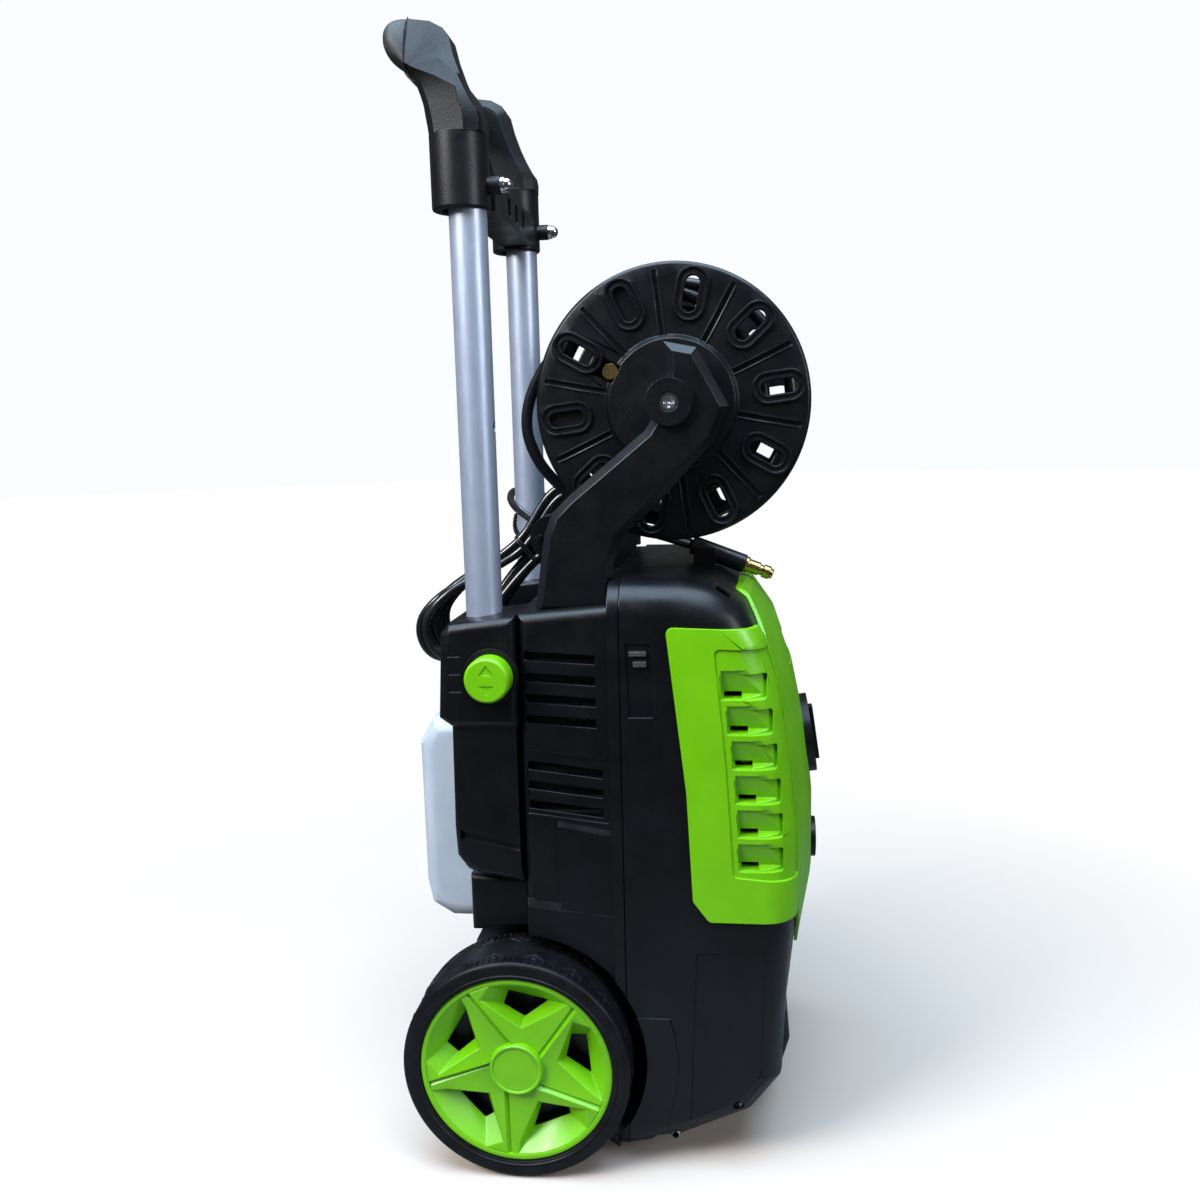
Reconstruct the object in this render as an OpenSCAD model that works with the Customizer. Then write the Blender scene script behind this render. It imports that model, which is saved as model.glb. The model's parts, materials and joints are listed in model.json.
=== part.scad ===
// Upright electric pressure washer on two wheels, with a telescopic handle,
// a hose reel on two arms and a detergent tank between the rear columns.
// Axes: X runs across the machine, -Y is its front, +Z is up. The origin is on
// the floor, under the centre of the machine's outline. The right side is -X.

/* [Body] */
// Width of the front shell
front_w = 276; // [270:1:282]
// Width of the rear shell
rear_w = 260; // [256:1:264]
// Height of the top of the front shell
front_top = 467; // [462:1:470]
// Height of the deck that the reel arms stand on
deck_z = 449; // [447:1:451]
// Wall thickness of the moulded shells
wall = 3; // [2.5:0.5:3.5]
// How far the green panels stand out of the shell
panel_proud = 3; // [2:0.5:4]
// Width of the detergent tank
tank_w = 132; // [120:2:134]

/* [Handle] */
// Outer diameter of the two handle tubes
tube_d = 28; // [26:1:28]
// Distance between the tube axes
tube_pitch = 200; // [198:1:202]
// Height of the grip bar's axis with the handle pulled out
grip_bar_z = 850; // [848:1:852]
// How far the handle slides down
handle_travel = 183; // [150:1:183]

/* [Wheels] */
// Outer diameter of a tyre
tyre_d = 181; // [176:1:181]
// Width of a tyre
tyre_w = 55; // [50:1:55]
// Diameter of the rim
rim_d = 151; // [146:1:152]
// Diameter of the axle
axle_d = 16; // [14:1:18]
// Number of spokes on a wheel
spoke_count = 5; // [5:1:6]

/* [Reel] */
// Diameter of a reel flange
flange_d = 206; // [200:1:208]
// Distance between the outer faces of the two flanges
flange_span = 172; // [168:1:176]
// Diameter of the drum that the hose is wound on
drum_d = 128; // [120:1:132]
// Number of sectors on a flange
sector_count = 10; // [10:1:12]
// Diameter of the pressure hose
hose_d = 9; // [8:0.5:9]

/* [Power cord] */
// Diameter of the power cord
cord_d = 7; // [6:0.5:7]

/* [Hidden] */
$fn = 64;

shell_black = [0.09, 0.09, 0.10];
trim_black = [0.14, 0.14, 0.15];
rubber_black = [0.06, 0.06, 0.06];
lime = [0.50, 0.80, 0.12];
aluminium = [0.74, 0.75, 0.78];
steel = [0.66, 0.67, 0.69];
brass = [0.76, 0.62, 0.33];
milky = [0.86, 0.89, 0.93];

eps = 0.01;
gap = 0.3;
fit = 0.05;

// Body
front_half = front_w / 2;
rear_half = rear_w / 2;
seam_y = -16;
seam_gap = 0.3;
strip_y = -7;
centre_half = 98;
shelf_z = 165;
wall_y = 62;
front_round = 26;
rear_round = 9;
// Side outline of the front shell: y, z and how far the middle bulges forwards
FRONT_SIDE = [
    [40, front_top, 0], [-60, front_top, 0], [-84, 461, 4], [-105, 447, 8],
    [-119, 423, 11], [-130, 385, 13], [-138, 335, 15], [-144, 277, 16],
    [-144, 215, 16], [-140, 170, 11], [-137, 125, 6], [-135, 76, 4],
    [-112, 46, 0], [-58, 21, 0], [-11, 12, 0], [40, 12, 0]
];
// Side outline of the rear shell's full-width part
REAR_SIDE = [
    [wall_y, deck_z - 7], [-50, deck_z + 3], [-50, 12], [-8, 12], [24, 34],
    [wall_y, 34]
];
// Side outline of the narrow part between the wheels
CENTRE_SIDE = [
    [20, shelf_z], [20, 34], [96, 34], [112, 52], [112, shelf_z]
];

// Wheels
axle_y = 69;
axle_z = tyre_d / 2;
axle_r = axle_d / 2;
tyre_out = 160;
tyre_in = tyre_out - tyre_w;
rim_r = rim_d / 2;
arch_r = 100;
hub_r = 20.5;

// Columns and handle
column_in = 70;
column_out = 132;
boss_out = 136;
COLUMN_SIDE = [
    [62, 441], [62, 231], [97, 236], [107, 241], [115, 252], [116, 275], [114, 400], [113, 436]
];
BOSS_SIDE = [
    [62, 441], [62, 356], [113, 356], [123, 363], [119, 428], [113, 435]
];
tube_x = tube_pitch / 2;
tube_y = 92;
tube_r = tube_d / 2;
tube_wall = 1.5;
tube_bottom = 374;
tube_top = 800;
socket_z = 736;
socket_y = 96.5;
socket_r = 21.5;
socket_top = 790;
grip_in = 80;
grip_out = 120;
GRIP_SIDE = [
    [77, 776], [116.5, 776], [119.5, 798], [127, 832], [146, 846], [148, 860],
    [138, 868], [112, 866], [97, 853], [91, 822], [77, 788]
];
grip_bar_y = 130;
grip_bar_r = 15;
bar_z0 = 739;
bar_z1 = 762;
bar_y0 = 75.5;
bar_y1 = 106;
bolt_z = 753;
bolt_r = 4;
head_y = 111;
head_r = 6.5;

// Handle release buttons
button_y = 80;
button_z = 397;
button_r = 17;
button_out = 155;
button_press = 6;
stem_r = 6;

// Reel
reel_y = -54;
reel_z = 594.5;
flange_r = flange_d / 2;
flange_out = flange_span / 2;
flange_t = 6;
drum_r = drum_d / 2;
drum_wall = 4;
coil_r = 82;
shaft_r = 8;
arm_in = 105;
arm_out = 118;
arm_boss_r = 17.2;
arm_boss_out = 124;
ARM_SIDE = [
    [50, deck_z - 9], [41, 500], [35, 515], [22, 528], [-36, 575], [-45, 590],
    [-52, 618], [-50, 638], [-74, 633], [-97, 591], [-87, 566], [-69, 548],
    [-44, 521], [-17, 496], [-11, 476], [-11, deck_z - 9]
];
crank_reach = 66;

// Front fittings
knob_z = 318;
knob_y = -162;
knob_tilt = 8;
knob_r = 27;
inlet_z = 225;
inlet_front = -167;
inlet_r = 17;
inlet_bore = 10;

// Hose tail from the wound hose to its sleeve: the last turn leaves the reel at the
// back and runs forwards under it
HOSE_ROUTE = [
    [-55, 14, 652], [-55, 34, 639], [-55, 50, 620], [-55, 60, 598], [-55, 62, 576],
    [-55, 55, 555], [-53, 42, 537], [-48, 24, 521], [-40, 2, 508], [-28, -22, 496],
    [-12, -44, 487], [0, -64, 479]
];
SLEEVE_START = [0, -64, 479];
SLEEVE_END = [0, -108, 462];
FITTING_END = [0, -131, 453];
sleeve_r = 7.8;

// Power cord from its gland, once round the left tube, to the hank
CORD_ROUTE = [
    [84, 52, 462], [84.5, 52.5, 478], [92, 56, 492], [106, 62, 503], [121, 74, 511],
    [128, 90, 515], [122, 107, 516], [107, 117, 514], [88, 118, 510], [66, 119, 504],
    [43.5, 114.8, 493.3], [29, 108, 488], [18, 100, 488]
];
gland_x = 84;
gland_y = 52;
hank_low = [153.5, 417];
hank_high = [64, 497];
hank_low_r = 25.5;
hank_high_r = 31;
hank_half = 22;
hank_waist = hank_low + (hank_high - hank_low) * 0.6;
tie_t = 1.5;
tie_w = 6;
plug_end = [-22, 44, 492];

// ---------------------------------------------------------------- helpers

function unit(v) = v / norm(v);
function left_of(v) = [-v[1], v[0]];

// An anticlockwise outline with every edge moved inwards by d
function inset(p, d) = let (n = len(p)) [
    for (i = [0 : n - 1])
        let (
            here = [p[i][0], p[i][1]],
            before = [p[(i + n - 1) % n][0], p[(i + n - 1) % n][1]],
            after = [p[(i + 1) % n][0], p[(i + 1) % n][1]],
            u = left_of(unit(here - before)),
            v = left_of(unit(after - here)),
            m = unit(u + v)
        )
        here + m * d / (m * u)
];

// A solid through rings of points, all with the same count, closed at both ends
module skin(rings) {
    n = len(rings[0]);
    last = len(rings) - 1;
    sides = [
        for (i = [0 : last - 1], j = [0 : n - 1])
            let (a = i * n + j, b = i * n + (j + 1) % n)
            each [[a, a + n, b + n], [a, b + n, b]]
    ];
    // Each cap is a ladder of convex pieces, so that a ring can be a bent outline
    cap = [
        for (i = [0 : ceil(n / 2) - 2])
            [i, i + 1, each i + 1 < n - 2 - i ? [n - 2 - i] : [], n - 1 - i]
    ];
    end_cap = [for (c = cap) [for (k = [len(c) - 1 : -1 : 0]) last * n + c[k]]];
    polyhedron([for (ring = rings) each ring], concat(sides, cap, end_cap), convexity = 8);
}

// Outlines in the side plane placed at their x: stations are [x, outline]
module loft(stations) skin([for (s = stations) [for (q = s[1]) [s[0], q[0], q[1]]]]);

// [x, inset] pairs that round an end at x with radius r
function end_steps(x, r, step = 18) = [
    for (a = [0 : step : 90]) [x - r + r * sin(a), r * (1 - cos(a))]
];

// A plate with side outline p from x0 to x1, its two ends rounded by r0 and r1
module rounded_plate(p, x0, x1, r0, r1) {
    low = [for (s = end_steps(0, r0)) [x0 - s[0], s[1]]];
    flipped = [for (i = [len(low) - 1 : -1 : 0]) low[i]];
    loft([for (s = concat(flipped, end_steps(x1, r1))) [s[0], inset(p, s[1])]]);
}

// Extrudes a side outline, drawn as (y, z), from x0 to x1
module slab(x0, x1) translate([x0, 0, 0]) rotate([90, 0, 90]) linear_extrude(x1 - x0) children();

module rod_x(x0, x1, y, z, r) translate([x0, y, z]) rotate([0, 90, 0]) cylinder(h = x1 - x0, r = r);

module rod_y(y0, y1, x, z, r) translate([x, y0, z]) rotate([-90, 0, 0]) cylinder(h = y1 - y0, r = r);

module box(low, high) translate(low) cube(high - low);

// side is 1 for the left of the machine and -1 for the right
module on_side(side) mirror([side < 0 ? 1 : 0, 0, 0]) children();

module both_sides() {
    children();
    mirror([1, 0, 0]) children();
}

// A round bar between two points
module bar(a, b, r, r_end = -1) {
    d = b - a;
    translate(a) rotate([0, acos(d[2] / norm(d)), atan2(d[1], d[0])])
        cylinder(h = norm(d), r1 = r, r2 = r_end < 0 ? r : r_end);
}

// A slot of length l and width w with round ends, along its x axis
module slot_2d(l, w) {
    square([l - w, w], center = true);
    for (s = [-1, 1]) translate([s * (l - w) / 2, 0]) circle(d = w);
}

// Points at even steps along a route, smoothed as a Catmull-Rom curve
function spline(p, steps) = let (n = len(p)) concat([
    for (i = [0 : n - 2], k = [0 : steps - 1])
        let (
            t = k / steps,
            a = p[max(i - 1, 0)], b = p[i], c = p[i + 1], d = p[min(i + 2, n - 1)]
        )
        0.5 * (2 * b + (c - a) * t + (2 * a - 5 * b + 4 * c - d) * t * t
            + (3 * b - a - 3 * c + d) * t * t * t)
], [p[n - 1]]);

// A tube of radius r along a route, square to its ends
module swept(route, steps, r, sides = 10) {
    p = spline(route, steps);
    last = len(p) - 1;
    dirs = [for (i = [0 : last]) unit(p[min(i + 1, last)] - p[max(i - 1, 0)])];
    frames = [
        for (
            i = 0, u = unit(cross(dirs[0], [0.3, 0.5, 0.8]));
            i <= last;
            i = i + 1, u = i > last ? u : unit(u - dirs[i] * (u * dirs[i]))
        ) u
    ];
    skin([
        for (i = [0 : last])
            [for (k = [0 : sides - 1])
                let (a = -k * 360 / sides)
                p[i] + r * (cos(a) * frames[i] + sin(a) * cross(frames[i], dirs[i]))]
    ]);
}

// ---------------------------------------------------------------- body

// Side outline of the front shell at x, its front bulged towards the middle
function front_outline(x) = [
    for (q = FRONT_SIDE) [q[0] - q[2] * max(0, 1 - pow(x / 112, 2)), q[1]]
];

// The front shell's outer form, grown by g on every face
module front_form(g) {
    end = end_steps(front_half + g, front_round);
    left = [for (s = end) [s[0], s[1]]];
    right = [for (i = [len(end) - 1 : -1 : 0]) [-end[i][0], end[i][1]]];
    middle = [for (x = [-84 : 28 : 84]) [x, 0]];
    loft([for (s = concat(right, middle, left)) [s[0], inset(front_outline(s[0]), s[1] - g)]]);
}

// The rear shell's full-width form, grown by g
module rear_form(g) rounded_plate(inset(REAR_SIDE, -g), -rear_half - g, rear_half + g, rear_round, rear_round);

module centre_form(g)
    rounded_plate(inset(CENTRE_SIDE, -g), -centre_half - g, centre_half + g, 6, 6);

module wheel_arches(r) both_sides() rod_x(centre_half, 170, axle_y, axle_z, r);

// Everything in front of a plane at y
module in_front_of(y) box([-200, -220, -10], [200, y, 520]);

module front_cavity() difference() {
    front_form(-wall);
    wheel_arches(arch_r + wall);
}

// The louvre windows of a green side panel: lower rear corner of each, in side view
louvre_count = 6;
louvre_step = 26.2;
function louvre_y(i) = -102 + 12 * pow(1 - i / 5, 2);
function louvre_z(i) = 383 - louvre_step * i;
louvre_l = 33;
louvre_h = 20;
pocket_depth = 9;
frame_depth = 3.6;

// The block behind the louvres, which closes each window's pocket
module louvre_block(g) slab(front_half - pocket_depth - 3 - g, front_half + 1)
    polygon([
        [-84 + g, 414 + g], [-93 + g, 330], [-97 + g, 244 - g], [-139 - g, 244 - g],
        [-138 - g, 330], [-128 - g, 414 + g]
    ]);

module front_housing() color(shell_black) difference() {
    union() {
        intersection() {
            front_form(0);
            in_front_of(seam_y - seam_gap);
        }
        hose_cradle();
        fender_ridges();
    }
    front_cavity();
    wheel_arches(arch_r);
    both_sides() louvre_block(gap);
    both_sides() clip_recess();
    knob_axis() cylinder(h = 60, r = knob_r + 6.2, center = true);
    rod_y(-200, -100, 0, inlet_z, inlet_r + 0.2);
    both_sides() top_notch();
    both_sides() lower_facet();
    screw_places() screw_hole();
}

// The cradle on top of the shell that the hose sleeve lies in
module hose_cradle() difference() {
    box([-15, -84, front_top - 8], [15, -66, 476]);
    bar(SLEEVE_START, SLEEVE_END, sleeve_r + 0.1);
}

// The raised edge round the front half of each wheel arch
module fender_ridges() intersection() {
    front_form(1.6);
    in_front_of(seam_y - seam_gap);
    both_sides() difference() {
        rod_x(centre_half, 170, axle_y, axle_z, arch_r + 24);
        rod_x(centre_half - 1, 171, axle_y, axle_z, arch_r);
        box([0, -220, 128], [200, 220, 520]);
    }
}

// The sunk field on the lower side of the shell
module lower_facet() difference() {
    slab(front_half - 1.6, front_half + 2)
        polygon([[-70, 182], [-122, 186], [-118, 84], [-100, 56], [-64, 44]]);
    rod_x(centre_half, 170, axle_y, axle_z, arch_r + 32);
}

// The recess under the shell's top edge that the accessory clip sits in
module clip_recess() slab(front_half - 2, front_half + 2)
    polygon([[-20, 422], [-39, 422], [-40, 366], [-22, 366]]);

module top_notch() translate([front_half - 28, -92, 456]) rotate([30, 0, 0]) cube([14, 12, 12], center = true);

module knob_axis() translate([0, knob_y, knob_z]) rotate([90 - knob_tilt, 0, 0]) children();

// Screws through the lower edge of the front shell: on each side, y and z
SCREWS = [[-52, 26], [-101, 56]];
module screw_places() both_sides() for (s = SCREWS) translate([front_half - 9, s[0], s[1]])
    rotate([0, 90, 0]) children();
module screw_hole() translate([0, 0, -14]) cylinder(h = 40, r = 4.2);

module housing_screws() color(steel) screw_places() difference() {
    union() {
        translate([0, 0, -12]) cylinder(h = 12, r = 2);
        cylinder(h = 2.6, r1 = 4, r2 = 3.2);
    }
    for (a = [0, 90]) rotate([0, 0, a]) translate([0, 0, 2.6]) cube([4.4, 1, 2], center = true);
}

// Louvre slots of the rear shell: rear end y, z, slope, length
REAR_LOUVRES = concat(
    [for (i = [0 : 3]) [56, 411 - 16.2 * i, 3.8, 53]],
    [for (i = [0 : 2]) [56, 326 - 15.4 * i, 6.9, 57]]
);

module rear_louvres() slab(rear_half - 20, rear_half + 8) for (s = REAR_LOUVRES)
    translate([s[0], s[1]]) rotate(s[2]) translate([-s[3], -3.4]) square([s[3], 6.8]);

// Regions of the rear shell's side, in side view
ledge_proud = 3;
wedge_proud = 2.2;

// A raised region of the rear shell's side whose top edge slopes outwards and down by fall
module raised_side(low, high, proud, fall) intersection() {
    rear_form(proud);
    both_sides() loft([for (s = [[-1, 0], [rear_half - 0.2, 0], [rear_half + proud + 0.2, fall]])
        [s[0], [low[0], high[0] - [0, s[1]], high[1] - [0, s[1]], low[1]]]]);
}
module below_ledge() raised_side([[60, 0], [strip_y, 0]], [[60, 219.5], [strip_y, 213]], ledge_proud, 7);
module below_wedge() raised_side([[34, 190], [strip_y, 190]], [[34, 283], [strip_y, 276]], wedge_proud, 5);
module louvre_field() polygon([[59, 338], [59, 288], [-4, 281], [-4, 331]]);

module rear_outer() difference() {
    union() {
        intersection() {
            rear_form(0);
            box([-200, seam_y + seam_gap, 0], [200, 200, 520]);
        }
        intersection() {
            front_form(-1.4);
            box([-200, seam_y + seam_gap, 0], [200, strip_y, 520]);
        }
        below_ledge();
        below_wedge();
        intersection() {
            centre_form(0);
            box([-200, 10, 0], [200, 200, 520]);
        }
        both_sides() tube_socket();
        rod_x(-centre_half, centre_half, axle_y, axle_z, 20);
    }
    both_sides() difference() {
        slab(rear_half - 1.4, rear_half + 8) louvre_field();
        rear_form(-1.4);
    }
}

// The block under each column that takes the lowered tube
module tube_socket() rounded_plate([[60, 230.5], [60, 184], [109, 184], [109, 230.5]], column_in, column_out - 16, 3, 5);

module rear_cavity() difference() {
    union() {
        rear_form(-wall);
        intersection() {
            centre_form(-wall);
            box([-200, 10, 0], [200, 200, 520]);
        }
        intersection() {
            front_form(-wall - 1.4);
            box([-200, -40, 0], [200, strip_y - wall, 520]);
        }
    }
    wheel_arches(arch_r + wall);
    rod_x(-130, 130, axle_y, axle_z, 14);
    for (s = [-1, 1]) box([s * 50 - 2, 20, 0], [s * 50 + 2, 120, shelf_z]);
}

module rear_housing() color(shell_black) difference() {
    rear_outer();
    rear_cavity();
    wheel_arches(arch_r);
    both_sides() rear_louvres();
    both_sides() translate([tube_x, tube_y, tube_bottom - handle_travel - 2]) cylinder(h = 80, r = tube_r + gap);
    rod_x(-120, 120, axle_y, axle_z, axle_r + fit);
    translate([gland_x, gland_y, deck_z - 30]) cylinder(h = 60, r = 6.2);
}

// Column cover with the boss that carries the release button
module column(side) color(shell_black) on_side(side) difference() {
    union() {
        rounded_plate(COLUMN_SIDE, column_in, column_out, 3, 8);
        rounded_plate(BOSS_SIDE, column_in - 2, boss_out, 3, 7);
    }
    difference() {
        rounded_plate([[50, 437], [50, 236], [96, 241], [108, 254], [110, 400], [108, 430]], column_in + wall, column_out - wall, 3, 6);
        translate([tube_x, tube_y, 200]) cylinder(h = 260, r = tube_r + wall);
        rod_x(column_in, boss_out, button_y, button_z, button_r + 3);
    }
    translate([tube_x, tube_y, 200]) cylinder(h = 260, r = tube_r + gap);
    rod_x(boss_out - button_press - 3, boss_out + 5, button_y, button_z, button_r + gap);
    rod_x(tube_x + tube_r + 4, boss_out, button_y, button_z, 10);
    slab(column_out - 2.4, column_out + 1) polygon([[110, 273], [63, 263], [63, 257.5], [110, 267.5]]);
    for (i = [0 : 2]) slab(boss_out - 1, boss_out + 1)
        translate([104, 411 - 13.5 * i]) square([9, 1.4]);
}

module side_panel(side) color(lime) on_side(side) difference() {
    union() {
        intersection() {
            difference() {
                front_form(panel_proud);
                front_form(gap);
            }
            slab(114, 160) side_panel_outline();
        }
        difference() {
            intersection() {
                louvre_block(0);
                front_form(gap + eps);
            }
            front_cavity_behind();
        }
    }
    difference() {
        slab(100, 160) offset(r = 4) offset(delta = -4) polygon([
            [-85, 418], [-93, 330], [-98, 245], [-200, 236], [-200, 412]
        ]);
        front_form(panel_proud - 1.4);
    }
    for (i = [0 : louvre_count - 1]) louvre_window(i);
}

// Keeps the louvre block from filling the shell: it is cut off at the pocket depth
module front_cavity_behind() box([0, -200, 0], [front_half - pocket_depth - 3, 0, 520]);

module side_panel_outline() offset(r = 5) offset(delta = -5) polygon([
    [-50, 434], [-58, 365], [-64, 310], [-68, 225], [-80, 209], [-200, 209], [-200, 431], [-124, 431]
]);

// One window: a framed pocket whose floor slopes inwards to a slot at its lower rear corner
module louvre_window(i) {
    y = louvre_y(i);
    z = louvre_z(i);
    difference() {
        slab(100, 160) translate([y, z]) offset(r = 2, $fn = 16) offset(delta = -2)
            polygon([[-louvre_l, -3], [-1, -3], [1.5, 15.5], [-louvre_l, 15.5]]);
        front_form(panel_proud - frame_depth);
    }
    translate([front_half + panel_proud, y - louvre_l, z]) rotate([0, 20, 0])
        translate([-pocket_depth, 0, -3]) cube([30, louvre_l, louvre_h]);
    box([front_half - pocket_depth - 5, y - 15, z - 2.2], [front_half, y - 2, z + 2.2]);
}

module front_panel() color(lime) difference() {
    intersection() {
        difference() {
            front_form(panel_proud);
            front_form(gap);
        }
        front_panel_outline();
    }
    knob_axis() cylinder(h = 60, r = knob_r + 6.2, center = true);
    rod_y(-200, -100, 0, inlet_z, inlet_r + 0.2);
    badge_recess();
}

// Front view of the front panel, extruded through it
module front_panel_outline() translate([0, -80, 0]) rotate([90, 0, 0]) linear_extrude(120)
    offset(r = 6) offset(delta = -6) polygon([
        [-62, 158], [62, 158], [96, 196], [113.7, 214], [113.7, 420], [76, 453],
        [-76, 453], [-113.7, 420], [-113.7, 214], [-96, 196]
    ]);

// A plain sunk field where a name plate would go
module badge_recess() difference() {
    translate([0, -100, 396]) rotate([90, 0, 0]) linear_extrude(80) slot_2d(96, 22);
    front_form(panel_proud - 1);
}

module front_foot() color(trim_black) difference() {
    rounded_plate([
        [-134, 104], [-142, 86], [-144, 64], [-138, 44], [-122, 22], [-104, 7], [-66, 7], [-50, 24], [-60, 70]
    ], -56, 56, 10, 10);
    front_form(gap);
}

module foot_pads() color(rubber_black) both_sides() translate([36, -86, 0]) {
    cylinder(h = 2, r1 = 12, r2 = 13);
    translate([0, 0, 2]) cylinder(h = 5, r = 13);
}

module axle() color(steel) rod_x(-148, 148, axle_y, axle_z, axle_r);

// ---------------------------------------------------------------- inside

motor_y = -46;
module motor() color(steel) difference() {
    union() {
        translate([0, motor_y, 196]) cylinder(h = 130, r = 46);
        for (a = [0 : 20 : 340]) translate([0, motor_y, 210]) rotate([0, 0, a])
            translate([45, -1.5, 0]) cube([5, 3, 100]);
        translate([0, motor_y, 190]) cylinder(h = 6, r = 40);
    }
    translate([0, motor_y, 250]) cylinder(h = 90, r = 5 + fit);
}

module motor_fan() color(trim_black) {
    translate([0, motor_y, 252]) cylinder(h = 96, r = 5);
    translate([0, motor_y, 330]) cylinder(h = 3, r = 40);
    for (a = [0 : 40 : 320]) translate([0, motor_y, 333]) rotate([0, 0, a])
        translate([14, -1, 0]) cube([25, 2, 12]);
}

module pump() color(steel) {
    translate([0, motor_y, 150]) cylinder(h = 40, r = 44);
    box([-38, motor_y - 32, 96], [38, motor_y + 32, 150]);
    for (x = [-24, 0, 24]) rod_y(motor_y - 40, motor_y + 40, x, 118, 9);
    rod_x(-56, 38, motor_y, 122, 10);
}

module switch_box() color(trim_black) {
    box([-34, -143, 292], [34, -112, 350]);
    translate([0, -124, 350]) cylinder(h = 26, r = 10);
}

// Garden hose inlet with its pipe down to the pump
module water_inlet() color(trim_black) difference() {
    union() {
        rod_y(inlet_front, -116, 0, inlet_z, inlet_r);
        rod_y(-116, -104, 0, inlet_z, 9);
        translate([0, -110, 126]) cylinder(h = inlet_z - 126, r = 7);
        rod_y(-110, motor_y - 40.2, 0, 136, 6);
    }
    rod_y(inlet_front - 1, inlet_front + 30, 0, inlet_z, inlet_bore);
}

// ---------------------------------------------------------------- controls

module switch_bezel() color(trim_black) knob_axis() difference() {
    translate([0, 0, -14]) cylinder(h = 15.5, r = knob_r + 6);
    translate([0, 0, -12.5]) cylinder(h = 20, r = knob_r + 0.6);
    translate([0, 0, -20]) cylinder(h = 20, r = 6 + gap);
}

module knob() color(shell_black) knob_axis() difference() {
    union() {
        translate([0, 0, -12]) cylinder(h = 10, r = knob_r);
        translate([0, 0, -2]) cylinder(h = 2, r1 = knob_r, r2 = knob_r - 2);
        translate([0, 0, 1.6]) cube([10, 46, 7.2], center = true);
        translate([0, 0, -18]) cylinder(h = 7, r = 6);
    }
    translate([0, 17, 5.2]) cube([2.4, 9, 2], center = true);
    for (a = [0 : 20 : 340]) rotate([0, 0, a]) translate([knob_r + 0.6, 0, -7]) cylinder(h = 12, r = 1.6, center = true);
}

tank_rear = 167;
TANK_SIDE = [
    [66, 343], [66, 169], [140, 169], [158, 180], [162, 200], [162, 322], [150, 343]
];
tank_half = tank_w / 2;
cap_y = 112;
mouth_r = 17;

module tank_form(g) {
    rounded_plate(inset(TANK_SIDE, g), -tank_half + g, tank_half - g, 14 - g, 14 - g);
    rounded_plate(inset([[100, 330], [100, 186], [150, 186], [tank_rear, 200], [tank_rear, 316], [154, 330]], g),
        -40 + g, 40 - g, 6, 6);
}

module detergent_tank() color(milky) difference() {
    union() {
        tank_form(0);
        translate([0, cap_y, 330]) cylinder(h = 24, r = mouth_r + 3);
    }
    tank_form(2.5);
    translate([0, cap_y, 320]) cylinder(h = 60, r = mouth_r);
}

module tank_cap() color(trim_black) translate([0, cap_y, 344]) difference() {
    union() {
        cylinder(h = 14, r = mouth_r + 8);
        for (a = [0 : 15 : 345]) rotate([0, 0, a]) translate([mouth_r + 8, 0, 0]) cylinder(h = 13, r = 1.2);
    }
    translate([0, 0, -1]) cylinder(h = 11.3, r = mouth_r + 3 + gap);
    translate([0, 0, 13]) cylinder(h = 2, r = mouth_r);
}

// ---------------------------------------------------------------- handle

module tube(side) color(aluminium) on_side(side) difference() {
    translate([tube_x, tube_y, tube_bottom]) cylinder(h = tube_top - tube_bottom, r = tube_r);
    translate([tube_x, tube_y, tube_bottom - 1]) cylinder(h = tube_top - tube_bottom + 2, r = tube_r - tube_wall);
    for (z = [button_z, button_z + handle_travel]) rod_y(tube_y - 20, tube_y, tube_x, z, 3.5);
    rod_y(tube_y - 20, tube_y + 20, tube_x, bolt_z, bolt_r + fit);
}

module grip(side) color(trim_black) on_side(side) difference() {
    union() {
        translate([tube_x, socket_y, socket_z]) rotate(4) hull() cylinder(h = socket_top - socket_z, r = socket_r, $fn = 40);
        rounded_plate(GRIP_SIDE, grip_in, grip_out, 4, 8);
    }
    translate([tube_x, tube_y, socket_z - 1]) cylinder(h = tube_top - socket_z + 1, r = tube_r + fit);
    rod_y(60, 130, tube_x, bolt_z, bolt_r + fit);
    rod_y(head_y, 130, tube_x, bolt_z, head_r + gap);
}

module grip_bar() color(trim_black) {
    rod_x(-grip_in, grip_in, grip_bar_y, grip_bar_z, grip_bar_r - 1.5);
    rod_x(-grip_in + 10, grip_in - 10, grip_bar_y, grip_bar_z, grip_bar_r);
}

module crossbar() color(trim_black) difference() {
    box([-grip_in, bar_y0, bar_z0], [grip_in, bar_y1, bar_z1]);
    both_sides() translate([tube_x, socket_y, 0]) cylinder(h = 900, r = socket_r + fit);
    for (x = [-28, 0, 28]) translate([x, 0, (bar_z0 + bar_z1) / 2]) rotate([90, 90, 0])
        linear_extrude(300, center = true) slot_2d(16, 9);
    box([-46, bar_y0 + 4, bar_z1 - 3], [46, bar_y1 - 4, bar_z1 + 1]);
}

module handle_bolts() color(steel) both_sides() {
    rod_y(60, head_y, tube_x, bolt_z, bolt_r);
    rod_y(head_y, head_y + 4, tube_x, bolt_z, head_r);
}

module bolt_collars() color(trim_black) both_sides() difference() {
    rod_y(65.5, bar_y0 + 1.2, tube_x, bolt_z, 8.5);
    rod_y(60, 80, tube_x, bolt_z, bolt_r + fit);
    translate([tube_x, socket_y, 700]) cylinder(h = 100, r = socket_r + fit);
}

module dome_nuts() color(steel) both_sides() difference() {
    union() {
        rod_y(61, 65.5, tube_x, bolt_z, 6.2);
        translate([tube_x, 61, bolt_z]) sphere(r = 5);
    }
    rod_y(59.9, 70, tube_x, bolt_z, bolt_r + fit);
}

// ---------------------------------------------------------------- release buttons

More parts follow.
